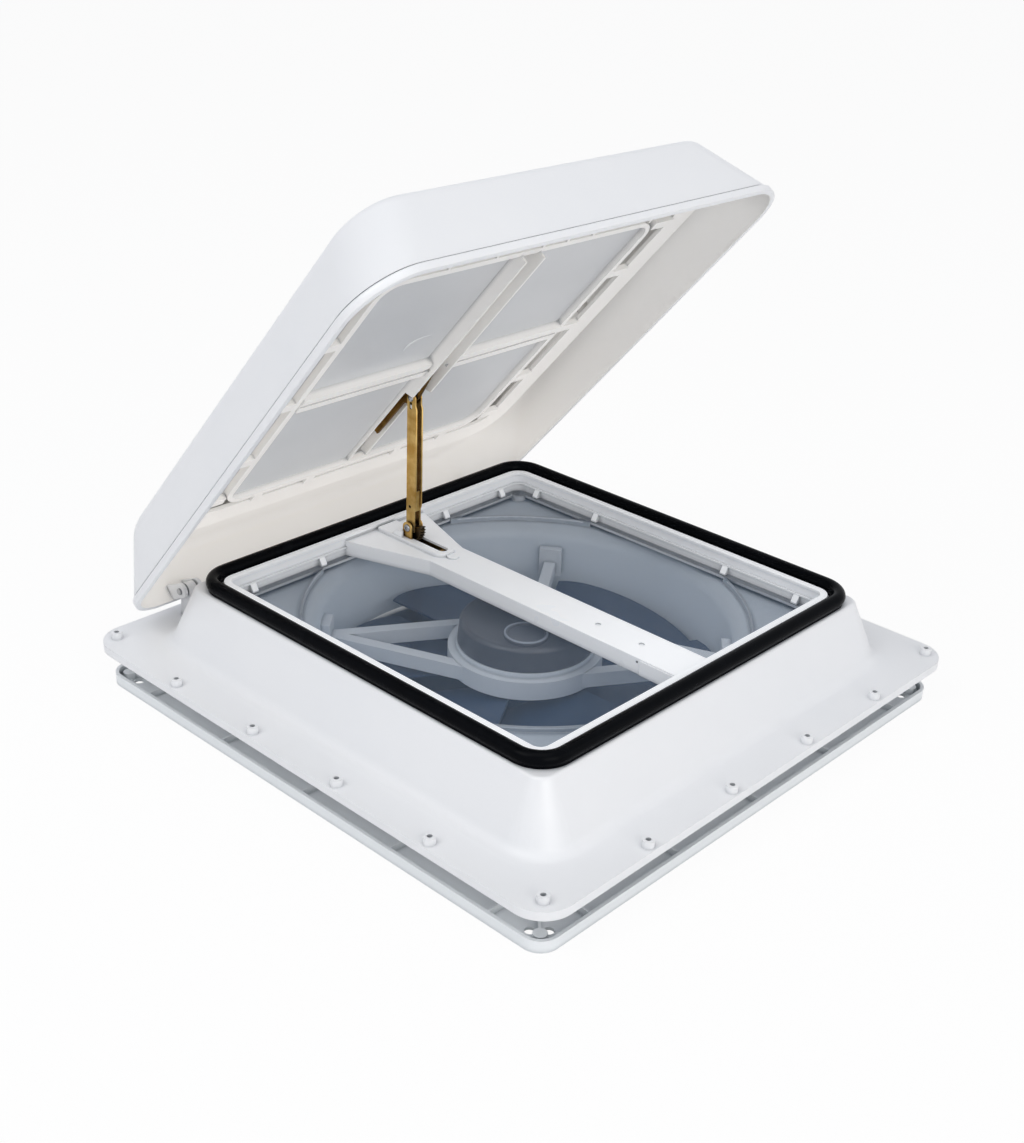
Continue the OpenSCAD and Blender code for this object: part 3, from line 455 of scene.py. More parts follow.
@dataclass(frozen=True)
class InsectMesh(Finish):
    """Woven glass-fibre insect screen: fine crossed threads that dim what lies under them."""

    thread_mm: float = 1.4
    thread_depth_mm: float = 0.1
    thread_strength: float = 0.1
    cover: Pair = (0.05, 0.15)

    def draw(self, paint: Painter, shader: Node) -> None:
        """Draws the crossed threads as tone and as cover.

        Args:
            paint: Painter of the material's nodes.
            shader: Its principled shader.
        """
        place = paint.place()
        # The period of a wave texture is pi / 10 divided by its scale.
        scale = math.pi / 10 * per_metre(self.thread_mm)
        across, along = (
            paint.node("ShaderNodeTexWave", {"bands_direction": way, "Scale": scale}, {"Vector": place})
            for way in ("X", "Y")
        )
        weave = paint.reckon("MAXIMUM", across.outputs["Fac"], along.outputs["Fac"])
        paint.link(paint.blend(weave, self.tone, self.colour), shader, "Base Color")
        paint.link(paint.span(weave, self.cover), shader, "Alpha")
        paint.bump(shader, weave, self.thread_strength, self.thread_depth_mm)
        shader.inputs["Roughness"].default_value = self.roughness
        shader.inputs["IOR"].default_value = self.ior


# Weather-proof ABS of the flange, coaming and dome: bright, faintly cool, satin.
WHITE_ABS = MouldedPlastic(
    "moulded_white_abs", "#EEEFF1", "#E9EBEE", 0.34, 1.53, gloss_spread=0.05, crevice_shade="#ADB1B6"
)
# Inside of the dome: the same plastic, with a warm painted glow for the daylight through its thin skin,
# weaker higher up.
DOME_INSIDE = MouldedPlastic(
    "moulded_white_abs_painted_glow", "#EFEEEC", "#EAE9E6", 0.4, 1.53, painted_glow=0.24, fade=0.25
)
# Inner frame and beam: thin walls of the same plastic, with a painted glow.
FRAME_ABS = MouldedPlastic(
    "moulded_thin_white_abs", "#F2F3F5", "#EDEFF1", 0.32, 1.53, painted_glow=0.2, painted_glow_tone="#F8FBFF"
)
# Liner of the lid, a little warmer and duller than the dome, with a painted glow as well, weaker higher up.
LINER_ABS = MouldedPlastic(
    "moulded_liner_abs", "#EFEEEC", "#EAE9E6", 0.4, 1.53, edge_mm=0.35, painted_glow=0.36, fade=0.25
)
# Interior trim, seen from above through the roof gap.
TRIM_ABS = MouldedPlastic(
    "moulded_trim_abs", "#EEF2F4", "#E9EDF0", 0.38, 1.53, edge_mm=0.4, crevice_shade="#A6ADB2"
)
# Cool tone of the painted glow under the screen.
COOL_GLOW_TONE = "#D9E6F4"
# Grey-white polypropylene of the duct and the motor's collar, with a cool painted glow; the duct has broad
# painted highlights on its edges.
DUCT_PP = MouldedPlastic(
    "moulded_duct_polypropylene", "#CBD3DB", "#C1CAD3", 0.42, 1.49,
    edge_mm=1.2, crevice_shade="#6F7780", painted_glow=0.18, painted_glow_tone=COOL_GLOW_TONE,
)
SPIDER_PP = MouldedPlastic(
    "moulded_spider_polypropylene", "#E6EBF1", "#DEE5EC", 0.4, 1.49,
    crevice_shade="#7C848D", painted_glow=0.04, painted_glow_tone=COOL_GLOW_TONE,
)
# Dark ABS of the fan motor's cover and of the cap on it, with paler painted highlights on their edges,
# broad on the cap.
MOTOR_ABS = MouldedPlastic(
    "moulded_motor_abs", "#55585E", "#4D5056", 0.38, 1.53, edge="#73777F", crevice_shade="#2E3034"
)
CAP_ABS = MouldedPlastic(
    "moulded_cap_abs", "#6A6E76", "#60646B", 0.36, 1.53, edge_mm=1.0, edge="#C9D0DA", crevice_shade="#2E3034"
)
# Blue-grey glass-filled polypropylene of the rotor.
ROTOR_PP = MouldedPlastic(
    "moulded_rotor_polypropylene", "#2A4462", "#243B57", 0.4, 1.49, edge="#5A7493", crevice_shade="#16202E"
)
# Bright rolled bead of the bell mouth, paler than the duct and with a painted glow: a painted highlight
# along the lip.
MOUTH_PP = MouldedPlastic(
    "moulded_mouth_highlight", "#EEF2F6", "#E6EBF0", 0.3, 1.49, crevice_shade="#B9C1CA", painted_glow=0.3
)
# Pale ring on the motor's cap.
RING_PP = MouldedPlastic(
    "moulded_cap_ring", "#AEB6C1", "#A4ADB8", 0.34, 1.49, edge="#D5DCE5", crevice_shade="#6A717B"
)
# Sponge rubber of the lid's seal and the lead bush.
SEAL_EPDM = ExtrudedRubber("extruded_black_rubber", "#050608", "#090B0F", 0.2, 1.45)
# Yellow-passivated zinc on pressed sheet: gold with brown and pale clouds.
YELLOW_ZINC = PlatedSteel(
    "yellow_zinc_plated_sheet", "#E6C47C", "#C89C52", 0.4, edge="#FBEBC2", crevice_shade="#4A2E0C"
)
# The same plating on the rail, painted darker brown as shade.
RAIL_ZINC = PlatedSteel(
    "shaded_yellow_zinc_rail", "#9C7636", "#6B4C20", 0.42, edge="#C9A868", crevice_shade="#2A1A08"
)
# Clear zinc on screws, rivets and pins.
CLEAR_ZINC = PlatedSteel("clear_zinc_plated_steel", "#C4C6CA", "#A9ACB2", 0.3)
# Oiled worm steel, with painted shade brown-black between its threads.
WORM_STEEL = PlatedSteel("oiled_worm_steel", "#5B4A33", "#2E2A26", 0.36, edge="#B39A6A", crevice_shade="#120E0A")
# Tinted panes of the lid.
PANE_ACRYLIC = SmokeSheet("smoke_acrylic_sheet", "#E4E5E7", "#DEE0E2", 0.32, 1.49, alpha=0.86)
# Fly screen, drawn at a thread spacing that still shows in the render.
SCREEN_MESH = InsectMesh("woven_glass_fibre_screen", "#8598B0", "#7A8DA6", 0.14, 1.5)


class Bench:
    """Workbench: a few moves by hand that the pieces share."""

    @staticmethod
    def clear() -> None:
        """Leaves edit mode and deselects everything."""
        if bpy.context.mode != "OBJECT":
            bpy.ops.object.mode_set(mode="OBJECT")
        bpy.ops.object.select_all(action="DESELECT")

    @staticmethod
    def take(name: str) -> Piece:
        """Names the object that was just added.

        Args:
            name: Name of the piece.

        Returns:
            The active object.
        """
        piece = bpy.context.view_layer.objects.active
        piece.name = name
        piece.data.name = name
        return piece

    @staticmethod
    def hold(piece: Piece) -> None:
        """Makes a piece the only selected and active object.

        Args:
            piece: The piece.
        """
        Bench.clear()
        piece.select_set(True)
        bpy.context.view_layer.objects.active = piece

    @staticmethod
    def ring_up(name: str, rings: Sequence[Sequence[Vector]], closed_ends: bool = True) -> Piece:
        """Models a closed form ring by ring: a circle, extruded and placed again and again.

        Args:
            name: Name of the piece.
            rings: Rings of points, all with the same count, from one end to the other.
            closed_ends: Fills the first and the last ring.

        Returns:
            The piece, with its normals outwards.
        """
        Bench.clear()
        count = len(rings[0])
        bpy.ops.mesh.primitive_circle_add(vertices=count, radius=1.0, fill_type="NOTHING")
        piece = Bench.take(name)
        for vertex, point in zip(piece.data.vertices, rings[0]):
            vertex.co = point
        bpy.ops.object.mode_set(mode="EDIT")
        bpy.ops.mesh.select_mode(type="EDGE")
        bpy.ops.mesh.select_all(action="SELECT")
        if closed_ends:
            bpy.ops.mesh.edge_face_add()
            bpy.ops.mesh.select_all(action="SELECT")
        for ring in rings[1:]:
            bpy.ops.mesh.extrude_edges_indiv()
            mesh = bmesh.from_edit_mesh(piece.data)
            for vertex, point in zip([v for v in mesh.verts if v.select], ring):
                vertex.co = point
            bmesh.update_edit_mesh(piece.data)
        if closed_ends:
            bpy.ops.mesh.edge_face_add()
        bpy.ops.mesh.select_all(action="SELECT")
        bpy.ops.mesh.normals_make_consistent(inside=False)
        bpy.ops.object.mode_set(mode="OBJECT")
        return piece

    @staticmethod
    def turn(name: str, profile: Sequence[Pair], steps: int, closed_ends: bool = True) -> Piece:
        """Models a turned piece about the Z axis, ring by ring.

        Args:
            name: Name of the piece.
            profile: Radius and height in millimetres from one end to the other.
            steps: Points of each ring.
            closed_ends: Fills the first and the last ring.

        Returns:
            The piece, with its normals outwards.
        """
        rings = [[polar(radius, angle, z) * MM for angle in circle(steps)] for radius, z in profile]
        return Bench.ring_up(name, rings, closed_ends)

    @staticmethod
    def thicken(piece: Piece, thick_mm: float) -> None:
        """Gives a sheet its thickness, half to each side.

        Args:
            piece: The sheet.
            thick_mm: Its thickness.
        """
        Bench.hold(piece)
        wall = piece.modifiers.new("wall", "SOLIDIFY")
        wall.thickness = thick_mm * MM
        wall.offset = 0.0
        bpy.ops.object.modifier_apply(modifier=wall.name)

    @staticmethod
    def copies(piece: Piece, places: Sequence[Matrix]) -> list[Piece]:
        """Copies a piece, each with a mesh of its own.

        Args:
            piece: The piece to copy.
            places: Where the copies go.

        Returns:
            The copies.
        """
        made = []
        for place in places:
            Bench.hold(piece)
            bpy.ops.object.duplicate(linked=False)
            copy = bpy.context.view_layer.objects.active
            Bench.set_down(copy, place)
            made.append(copy)
        return made

    @staticmethod
    def cut(piece: Piece, tool: Piece) -> None:
        """Cuts a tool out of a piece and takes the tool away.

        Args:
            piece: The piece.
            tool: What is cut out of it.
        """
        Bench.hold(piece)
        cutter = piece.modifiers.new("cut", "BOOLEAN")
        cutter.operation = "DIFFERENCE"
        cutter.object = tool
        bpy.ops.object.modifier_apply(modifier=cutter.name)
        Bench.hold(tool)
        bpy.ops.object.delete()

    @staticmethod
    def weld(piece: Piece) -> None:
        """Merges points that lie on each other and turns the normals outwards.

        Args:
            piece: The piece.
        """
        Bench.hold(piece)
        bpy.ops.object.mode_set(mode="EDIT")
        bpy.ops.mesh.select_all(action="SELECT")
        bpy.ops.mesh.remove_doubles(threshold=WELD_GAP)
        bpy.ops.mesh.normals_make_consistent(inside=False)
        bpy.ops.object.mode_set(mode="OBJECT")

    @staticmethod
    def set_down(piece: Piece, place: Matrix) -> None:
        """Moves a piece to its place and leaves that place in its mesh.

        Args:
            piece: The piece.
            place: Where it goes.
        """
        Bench.hold(piece)
        piece.matrix_world = place @ piece.matrix_world
        bpy.context.view_layer.update()
        bpy.ops.object.transform_apply(location=True, rotation=True, scale=True)

    @staticmethod
    def smooth(piece: Piece, angle: float) -> None:
        """Shades a piece smooth where its faces meet at less than an angle in degrees."""
        Bench.hold(piece)
        bpy.ops.object.shade_smooth_by_angle(angle=math.radians(angle))

    @staticmethod
    def dress(piece: Piece, finish: Finish) -> None:
        """Gives a piece or a CAD node one finish all over."""
        piece.data.materials.clear()
        piece.data.materials.append(finish.material())

    @staticmethod
    def join(pieces: Sequence[Piece]) -> Piece:
        """Joins pieces into the first one.

        Args:
            pieces: Pieces to join.

        Returns:
            The first piece, with the others in its mesh.
        """
        Bench.clear()
        for piece in pieces:
            piece.select_set(True)
        bpy.context.view_layer.objects.active = pieces[0]
        bpy.ops.object.join()
        return pieces[0]

    @staticmethod
    def fit(piece: Piece, body: Body, slot: Slot, finish: Finish, *nodes: str) -> None:
        """Dresses a finished piece, lets it ride on a body and stand for CAD nodes.

        Args:
            piece: The finished piece.
            body: Body that carries it.
            slot: Material slot of the record; not used.
            finish: Its finish.
            *nodes: CAD nodes that it replaces.
        """
        Bench.clear()
        Bench.dress(piece, finish)
        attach(piece, body.value)
        if nodes:
            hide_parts(*nodes)
        LOG.info("piece %s: %d faces on %s", piece.name, len(piece.data.polygons), body.value)


@dataclass
class SubAssembly:
    """A group of CAD nodes that keep their shape, each with its finish."""

    finishes: dict[str, Finish] = field(default_factory=dict)

    def dress(self) -> None:
        """Gives the CAD nodes of the group their finishes."""
        for name, finish in self.finishes.items():
            Bench.dress(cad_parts[name], finish)
            LOG.info("node %s: %s", name, finish.name)


@dataclass
class RoofBase(SubAssembly):
    """Flange with its coaming, the interior trim and what is screwed to them."""

    finishes: dict[str, Finish] = field(
        default_factory=lambda: {
            "base_flange": WHITE_ABS,
            "trim_ring": TRIM_ABS,
            "trim_screws": CLEAR_ZINC,
            "lead_grommet": SEAL_EPDM,
            "hinge_pin_left": CLEAR_ZINC,
            "hinge_pin_right": CLEAR_ZINC,
        }
    )


@dataclass
class Throat(SubAssembly):
    """Seal, inner frame and insect screen."""

    finishes: dict[str, Finish] = field(
        default_factory=lambda: {
            "lid_seal": SEAL_EPDM,
            "inner_frame": FRAME_ABS,
            "fly_screen": SCREEN_MESH,
        }
    )


@dataclass
class LiftGear(SubAssembly):
    """Beam, worm gear and arm. Sizes in millimetres."""

    finishes: dict[str, Finish] = field(
        default_factory=lambda: {
            "cross_beam": FRAME_ABS,
            "lift_bracket": YELLOW_ZINC,
            "shaft_coupling": CLEAR_ZINC,
            "lift_motor": CLEAR_ZINC,
            "lift_arm": YELLOW_ZINC,
            "arm_sector": WORM_STEEL,
        }
    )
    pivot: Triple = (0.0, 121.0, 62.0)
    arm_length: float = 104.0
    arm_half: float = 3.5
    sheet: float = 1.2
    hem_from: float = 15.0
    hem_to: float = 99.0
    hem_out: float = 6.5
    hem_in: float = 4.9
    hem_lap: float = 0.05
    hem_taper: float = 3.0
    hem_end_share: float = 0.1
    hem_steps: int = 8
    shaft_height: float = 45.5
    shaft_round: float = 2.0
    shaft_ends: Pair = (-100.0, 145.0)
    thread_ends: Pair = (94.0, 138.0)
    thread_core: float = 3.2
    thread_round: float = 4.4
    pitch: float = 2.5
    flank_from: float = 0.05
    flank_to: float = 0.88
    flank_run: float = 0.25
    worm_steps: int = 30
    layers_per_turn: int = 10
    screw_profile: tuple[Pair, ...] = (
        (0.05, -7.3), (1.2, -7.26), (2.1, -7.05), (2.7, -6.6), (2.9, -6.15), (2.8, -6.02), (2.0, -6.0),
        (2.0, 6.6), (1.7, 7.0), (0.05, 7.0),
    )
    rivet_profile: tuple[Pair, ...] = (
        (0.05, -4.5), (1.0, -4.44), (1.9, -4.2), (2.45, -3.85), (2.6, -3.52), (1.75, -3.5), (1.75, 3.5),
        (2.6, 3.52), (2.45, 3.85), (1.9, 4.2), (1.0, 4.44), (0.05, 4.5),
    )
    nut_ends: Pair = (6.0, 7.7)
    nut_round: float = 3.2
    nut_chamfer: float = 0.3
    round_steps: int = 40
    nut_steps: int = 48
    recess: Triple = (3.4, 0.8, 1.0)
    recess_level: float = -7.2
    recess_turns: Pair = (45.0, 135.0)

    def across(self, height: float) -> Matrix:
        """Place of a piece that is turned about the X axis at a height over the pivot."""
        x, y, z = self.pivot
        return Matrix.Translation(Vector((x, y, z + height)) * MM) @ Matrix.Rotation(math.pi / 2, 4, "Y")

    def build_hems(self) -> None:
        """Models the rolled front edges of the arm's two walls."""
        bars = []
        for number, side in enumerate((-1, 1)):
            middle = side * (self.arm_half - self.sheet / 2)
            half = self.sheet / 2 + self.hem_lap
            rings = []
            for height, share in (
                (self.hem_from, self.hem_end_share),
                (self.hem_from + self.hem_taper, 1.0),
                (self.hem_to - self.hem_taper, 1.0),
                (self.hem_to, self.hem_end_share),
            ):
                deep = (self.hem_out - self.hem_in - half) * share
                ring = []
                for step in range(self.hem_steps + 1):
                    angle = math.pi * step / self.hem_steps
                    out = -self.hem_in - deep - half * math.sin(angle) * share
                    ring.append(Vector((half * math.cos(angle), out, 0)))
                ring += [Vector((-half, -self.hem_in, 0)), Vector((half, -self.hem_in, 0))]
                rings.append([(p + Vector((middle, 0, height)) + Vector(self.pivot)) * MM for p in ring])
            bars.append(Bench.ring_up(f"arm_hem_{number}", rings))
        hems = Bench.join(bars)
        hems.name = "arm_hems"
        Bench.smooth(hems, 40)
        Bench.fit(hems, Body.ARM, Slot.ZINC, YELLOW_ZINC)

    def thread_radius(self, along: float, angle: float) -> float:
        """Follows the worm's thread.

        Args:
            along: Distance along the worm from the thread's beginning.
            angle: Turn about the worm's axis.

        Returns:
            Radius of the worm at that place.
        """
        share = (along / self.pitch - angle / (2 * math.pi)) % 1.0
        inside = min(share - self.flank_from, self.flank_to - share)
        flank = min(1.0, max(0.0, inside / self.flank_run))
        return self.thread_core + flank * (self.thread_round - self.thread_core)

    def build_worm(self) -> None:
        """Models the worm's shaft with its cut thread."""
        begin, end = self.thread_ends
        count = round((end - begin) / self.pitch * self.layers_per_turn)
        layers = [(self.shaft_ends[0], None), (begin, None)]
        layers += [(begin + (end - begin) * k / count, begin) for k in range(count + 1)]
        layers += [(end, None), (self.shaft_ends[1], None)]
        rings = []
        for along, start in layers:
            ring = []
            for angle in circle(self.worm_steps):
                radius = self.shaft_round if start is None else self.thread_radius(along - start, angle)
                rise = self.shaft_height + radius * math.sin(angle)
                ring.append(Vector((radius * math.cos(angle), along, rise)) * MM)
            rings.append(ring)
        worm = Bench.ring_up("worm_thread", rings)
        Bench.smooth(worm, 30)
        Bench.fit(worm, Body.WORM, Slot.DARK_STEEL, WORM_STEEL, "worm_shaft")

    def build_nut(self) -> Piece:
        """Models the pivot's nut: a hexagon with turned corners.

        Returns:
            The nut on the Z axis.
        """
        half_side = math.pi / 6
        flat = self.nut_round * math.cos(half_side)
        low, high = self.nut_ends
        rings = []
        for limit, height in (
            (flat, low),
            (self.nut_round, low + self.nut_chamfer),
            (self.nut_round, high - self.nut_chamfer),
            (flat, high),
        ):
            ring = []
            for angle in circle(self.nut_steps):
                side = flat / math.cos((angle + half_side) % (2 * half_side) - half_side)
                ring.append(polar(min(side, limit), angle, height) * MM)
            rings.append(ring)
        return Bench.ring_up("pivot_nut", rings)

    def build_screw(self) -> None:
        """Models the pivot's screw with a crossed recess in its domed head, and its nut."""
        screw = Bench.turn("pivot_pan_screw", self.screw_profile, self.round_steps)
        for turn in self.recess_turns:
            Bench.clear()
            bpy.ops.mesh.primitive_cube_add(size=1.0, location=(0, 0, self.recess_level * MM))
            bit = Bench.take("driver_bit")
            bpy.ops.transform.resize(value=tuple(side * MM for side in self.recess))
            bpy.ops.transform.rotate(value=math.radians(turn), orient_axis="Z", center_override=(0, 0, 0))
            Bench.cut(screw, bit)
        screw = Bench.join([screw, self.build_nut()])
        Bench.set_down(screw, self.across(0.0))
        Bench.smooth(screw, 30)
        Bench.fit(screw, Body.BASE, Slot.STEEL, CLEAR_ZINC, "pivot_screw")

    def build_rivet(self) -> None:
        """Models the domed rivet that carries the arm in its rail."""
        rivet = Bench.turn("arm_rivet", self.rivet_profile, self.round_steps)
        Bench.set_down(rivet, self.across(self.arm_length))
        Bench.smooth(rivet, 35)
        Bench.fit(rivet, Body.ARM, Slot.STEEL, CLEAR_ZINC, "arm_pin")

    def build(self) -> None:
        """Builds the gear's own pieces and dresses its nodes."""
        self.dress()
        self.build_hems()
        self.build_worm()
        self.build_screw()
        self.build_rivet()


@dataclass
class Extractor(SubAssembly):
    """Duct, motor and rotor under the screen. Sizes in millimetres."""

    finishes: dict[str, Finish] = field(
        default_factory=lambda: {
            "fan_shroud": DUCT_PP,
            "fan_spider": SPIDER_PP,
            "fan_motor": MOTOR_ABS,
            "motor_cap": CAP_ABS,
            "rotor_nut": CLEAR_ZINC,
            "shroud_screws": CLEAR_ZINC,
        }
    )
    mouth_from: float = 26.5
    mouth_steps: int = 24
    mouth_profile: tuple[Pair, ...] = (
        (162.0, 36.6), (161.9, 37.5), (162.2, 38.1), (162.6, 38.3), (163.0, 38.1), (163.3, 37.5),
        (163.2, 36.6),
    )
    ring_place: Triple = (-20.5, -18.5, 32.2)
    ring_profile: tuple[Pair, ...] = (
        (14.4, -0.2), (14.5, 0.5), (14.9, 0.8), (15.4, 0.8), (15.8, 0.5), (15.9, -0.2), (14.4, -0.2),
    )
    ring_steps: int = 56
    hub_steps: int = 64
    blade_count: int = 6
    blade_root: float = 38.0
    blade_tip: float = 146.0
    blade_tip_round: float = 7.0
    blade_grid: tuple[int, int] = (14, 18)
    blade_half: float = 31.5
    blade_rise: float = 8.6
    blade_camber: float = 1.4
    blade_thick: float = 1.6
    rotor_mid: float = -16.5
    hub_profile: tuple[Pair, ...] = (
        (0.4, -5.5), (3.0, -5.5), (3.0, -9.0), (36.5, -9.0), (38.6, -9.5), (40.0, -11.2), (40.0, -23.5),
        (39.2, -24.5), (37.0, -24.5), (36.6, -18.5), (8.0, -18.5), (8.0, -24.5), (3.0, -24.5), (3.0, -27.5),
        (0.4, -27.5),
    )

    def build_blade(self) -> Piece:
        """Models one blade: a grid laid on a screw surface, cambered and thickened.

        Returns:
            The blade on the X axis.
        """
        Bench.clear()
        out_steps, across_steps = self.blade_grid
        bpy.ops.mesh.primitive_grid_add(x_subdivisions=out_steps, y_subdivisions=across_steps, size=2.0)
        blade = Bench.take("fan_blade")
        for vertex in blade.data.vertices:
            out, across = (vertex.co.x + 1) / 2, vertex.co.y
            tip = self.blade_tip - self.blade_tip_round * across**6
            radius = self.blade_root + out * (tip - self.blade_root)
            angle = math.radians(self.blade_half * across)
            height = self.rotor_mid + self.blade_rise * across + self.blade_camber * (1 - across**2)
            vertex.co = polar(radius, angle, height) * MM
        Bench.thicken(blade, self.blade_thick)
        return blade

    def build_mouth(self) -> None:
        """Models the bead on the bell mouth: one arc in a corner, copied to the other three."""
        rings = []
        for step in range(self.mouth_steps + 1):
            share = step / self.mouth_steps
            angle = math.radians(self.mouth_from + (90 - 2 * self.mouth_from) * share)
            rings.append([polar(radius, angle, z) * MM for radius, z in self.mouth_profile])
        bead = Bench.ring_up("mouth_bead", rings)
        turns = [Matrix.Rotation(angle, 4, "Z") for angle in circle(4)[1:]]
        mouth = Bench.join([bead, *Bench.copies(bead, turns)])
        Bench.smooth(mouth, 50)
        Bench.fit(mouth, Body.BASE, Slot.GREY, MOUTH_PP)

    def build_cap_ring(self) -> None:
        """Models the pale ring that stands on the motor's cap."""
        ring = Bench.turn("cap_ring", self.ring_profile, self.ring_steps, closed_ends=False)
        Bench.weld(ring)
        Bench.set_down(ring, Matrix.Translation(Vector(self.ring_place) * MM))
        Bench.smooth(ring, 50)
        Bench.fit(ring, Body.BASE, Slot.DARK, RING_PP)

    def build_rotor(self) -> None:
        """Models the rotor: a turned hub with a ring of overlapping blades."""
        hub = Bench.turn("rotor_blades", self.hub_profile, self.hub_steps)
        blade = self.build_blade()
        turns = [Matrix.Rotation(angle, 4, "Z") for angle in circle(self.blade_count)[1:]]
        rotor = Bench.join([hub, blade, *Bench.copies(blade, turns)])
        Bench.smooth(rotor, 35)
        Bench.fit(rotor, Body.ROTOR, Slot.FAN, ROTOR_PP, "fan_rotor")

    def build(self) -> None:
        """Builds the fan's own pieces and dresses its nodes."""
        self.dress()
        self.build_mouth()
        self.build_cap_ring()
        self.build_rotor()


@dataclass
class VentLid(SubAssembly):
    """Dome, liner and panes of the lid. Sizes in millimetres from the hinge axis of a closed lid."""

    finishes: dict[str, Finish] = field(
        default_factory=lambda: {
            "lid_liner": LINER_ABS,
            "lid_pane": PANE_ACRYLIC,
            "lift_rail": RAIL_ZINC,
            "rail_screws": CLEAR_ZINC,
        }
    )
    hinge_y: float = 203.0
    hinge_z: float = 29.0
    opening: float = 49.0
    half_width: float = 200.0
    reach: float = 396.0
    tail: float = 18.0
    rim: float = -0.3
    bead_high: float = 5.5
    bead_wide: float = 1.8
    bead_lower: tuple[Pair, ...] = ((0.7, 0.0), (0.2, 0.2), (0.0, 0.8))
    bead_upper: tuple[Pair, ...] = ((0.0, -1.2), (0.2, -0.4), (0.7, 0.0))
    bead_lip: float = 0.3
    foot_round: float = 0.4
    groove: float = 0.8
    groove_rise: float = 1.2
    skin: float = 2.6
    corner_front: float = 42.0
    corner_rear: float = 32.0
    high_front: float = 60.4
    high_rear: float = 41.0
    top_half_front: float = 171.5
    top_half_rear: float = 197.0
    top_corner_front: float = 39.0
    top_corner_rear: float = 76.0
    top_front: float = 387.0
    top_rear: float = -14.0
    edge_round: float = 10.0
    edge_steps: int = 7
    crown: float = 2.5
    crown_shares: tuple[float, ...] = (0.94, 0.85, 0.72, 0.56, 0.38, 0.2, 0.06)
    corner_steps: int = 20
    side_steps: int = 12
    hinge_x: float = 150.0
    ear_gap: float = 6.8
    ear_thick: float = 3.2
    ear_round: float = 6.0
    ear_bore: float = 2.55
    mark_path: tuple[Triple, ...] = (
        (-47.3, -224.5, 0.25), (-48.0, -228.0, 0.7), (-47.6, -231.4, 1.0), (-45.8, -234.2, 1.0),
        (-42.8, -236.2, 0.9), (-38.5, -237.4, 0.75), (-33.5, -237.6, 0.5), (-28.0, -237.1, 0.2),
    )
    mark_level: float = 35.15
    mark_steps: int = 12
    ear_soft: float = 0.4
    ear_steps: int = 10
    ear_corners: tuple[Pair, ...] = ((0.0, -6.0), (14.5, 0.7), (12.0, 12.0), (0.0, 6.0))

    def place(self) -> Matrix:
        """Where the hinge frame of the open lid sits."""
        turn = Matrix.Rotation(math.radians(-self.opening), 4, "X")
        return Matrix.Translation((0, self.hinge_y * MM, self.hinge_z * MM)) @ turn

    def outline(self, front: Triple, rear: Triple) -> list[tuple[Vector, Vector]]:
        """Points round four corner circles, with the outward direction at each.

        Args:
            front: Centre x, distance from the hinge and radius of the right front corner.
            rear: The same of the right rear corner; the left corners mirror both.

        Returns:
            Pairs of point and direction in the plan, the same count for every outline.
        """
        corners = [front, rear, (-rear[0], *rear[1:]), (-front[0], *front[1:])]
        found: list[tuple[Vector, Vector]] = []
        for number, (x, distance, radius) in enumerate(corners):
            start = -90 + 90 * number
            centre = Vector((x, -distance, 0))
            for step in range(self.corner_steps + 1):
                angle = math.radians(start + 90 * step / self.corner_steps)
                out = polar(1.0, angle)
                found.append((centre + radius * out, out))
            after = corners[(number + 1) % 4]
            goal = Vector((after[0], -after[1], 0)) + after[2] * found[-1][1]
            begin, out = found[-1]
            for step in range(1, self.side_steps):
                found.append((begin.lerp(goal, step / self.side_steps), out))
        return found

    def rim_outline(self, inset: float) -> list[tuple[Vector, Vector]]:
        """Draws the rim's outline.

        Args:
            inset: How far it is drawn in.

        Returns:
            Pairs of point and direction in the plan.
        """
        front, rear = self.corner_front - inset, self.corner_rear - inset
        half = self.half_width - inset
        ahead, behind = self.reach - inset - front, rear + inset - self.tail
        return self.outline((half - front, ahead, front), (half - rear, behind, rear))

    def top_outline(self) -> list[tuple[Vector, Vector]]:
        """Draws the outline of the centres of the top's round edge.

        Returns:
            Pairs of point and direction in the plan.
        """
        front = self.top_corner_front - self.edge_round
        rear = self.top_corner_rear - self.edge_round
        front_x = self.top_half_front - self.top_corner_front
        rear_x = self.top_half_rear - self.top_corner_rear
        ahead = self.top_front - self.top_corner_front
        behind = self.top_rear + self.top_corner_rear
        return self.outline((front_x, ahead, front), (rear_x, behind, rear))

    def top_height(self, point: Vector) -> float:
        """Height of the sloping top over a point of the plan."""
        share = (-point.y - self.top_rear) / (self.top_front - self.top_rear)
        return self.rim + self.high_rear + share * (self.high_front - self.high_rear)

    def wall(self, inset: float) -> list[list[Vector]]:
        """Rings of one wall from the bead's top to the middle of the top.

        Args:
            inset: 0 for the outside, the skin's thickness for the inside.

        Returns:
            Rings of points in millimetres.
        """
        foot = self.rim_outline(self.bead_wide + inset)
        edge = self.top_outline()
        radius = self.edge_round - inset
        rings: list[list[Vector]] = [[] for _ in range(self.edge_steps + 2)]
        for (base, _), (centre, out) in zip(foot, edge):
            low = self.rim + self.bead_high + (0.0 if inset else self.groove_rise * self.groove)
            high = self.top_height(centre) - self.edge_round
            along = (base - centre).dot(out)
            drop = low - high
            reach = math.hypot(along, drop)
            start = math.atan2(drop, along) + math.acos(min(1.0, radius / reach))
            rings[0].append(Vector((base.x, base.y, low)))
            for step in range(self.edge_steps + 1):
                angle = start + (math.pi / 2 - start) * step / self.edge_steps
                point = centre + out * radius * math.cos(angle)
                rings[step + 1].append(Vector((point.x, point.y, high + radius * math.sin(angle))))
        middle = Vector((0, -(self.top_front + self.top_rear) / 2, 0))
        edge_ring = rings[-1]
        for share in self.crown_shares:
            ring = []
            for point in edge_ring:
                flat = middle.lerp(Vector((point.x, point.y, 0)), share)
                lift = self.crown * (1 - share**2) ** 2
                ring.append(Vector((flat.x, flat.y, self.top_height(flat) - inset + lift)))
            rings.append(ring)
        return rings

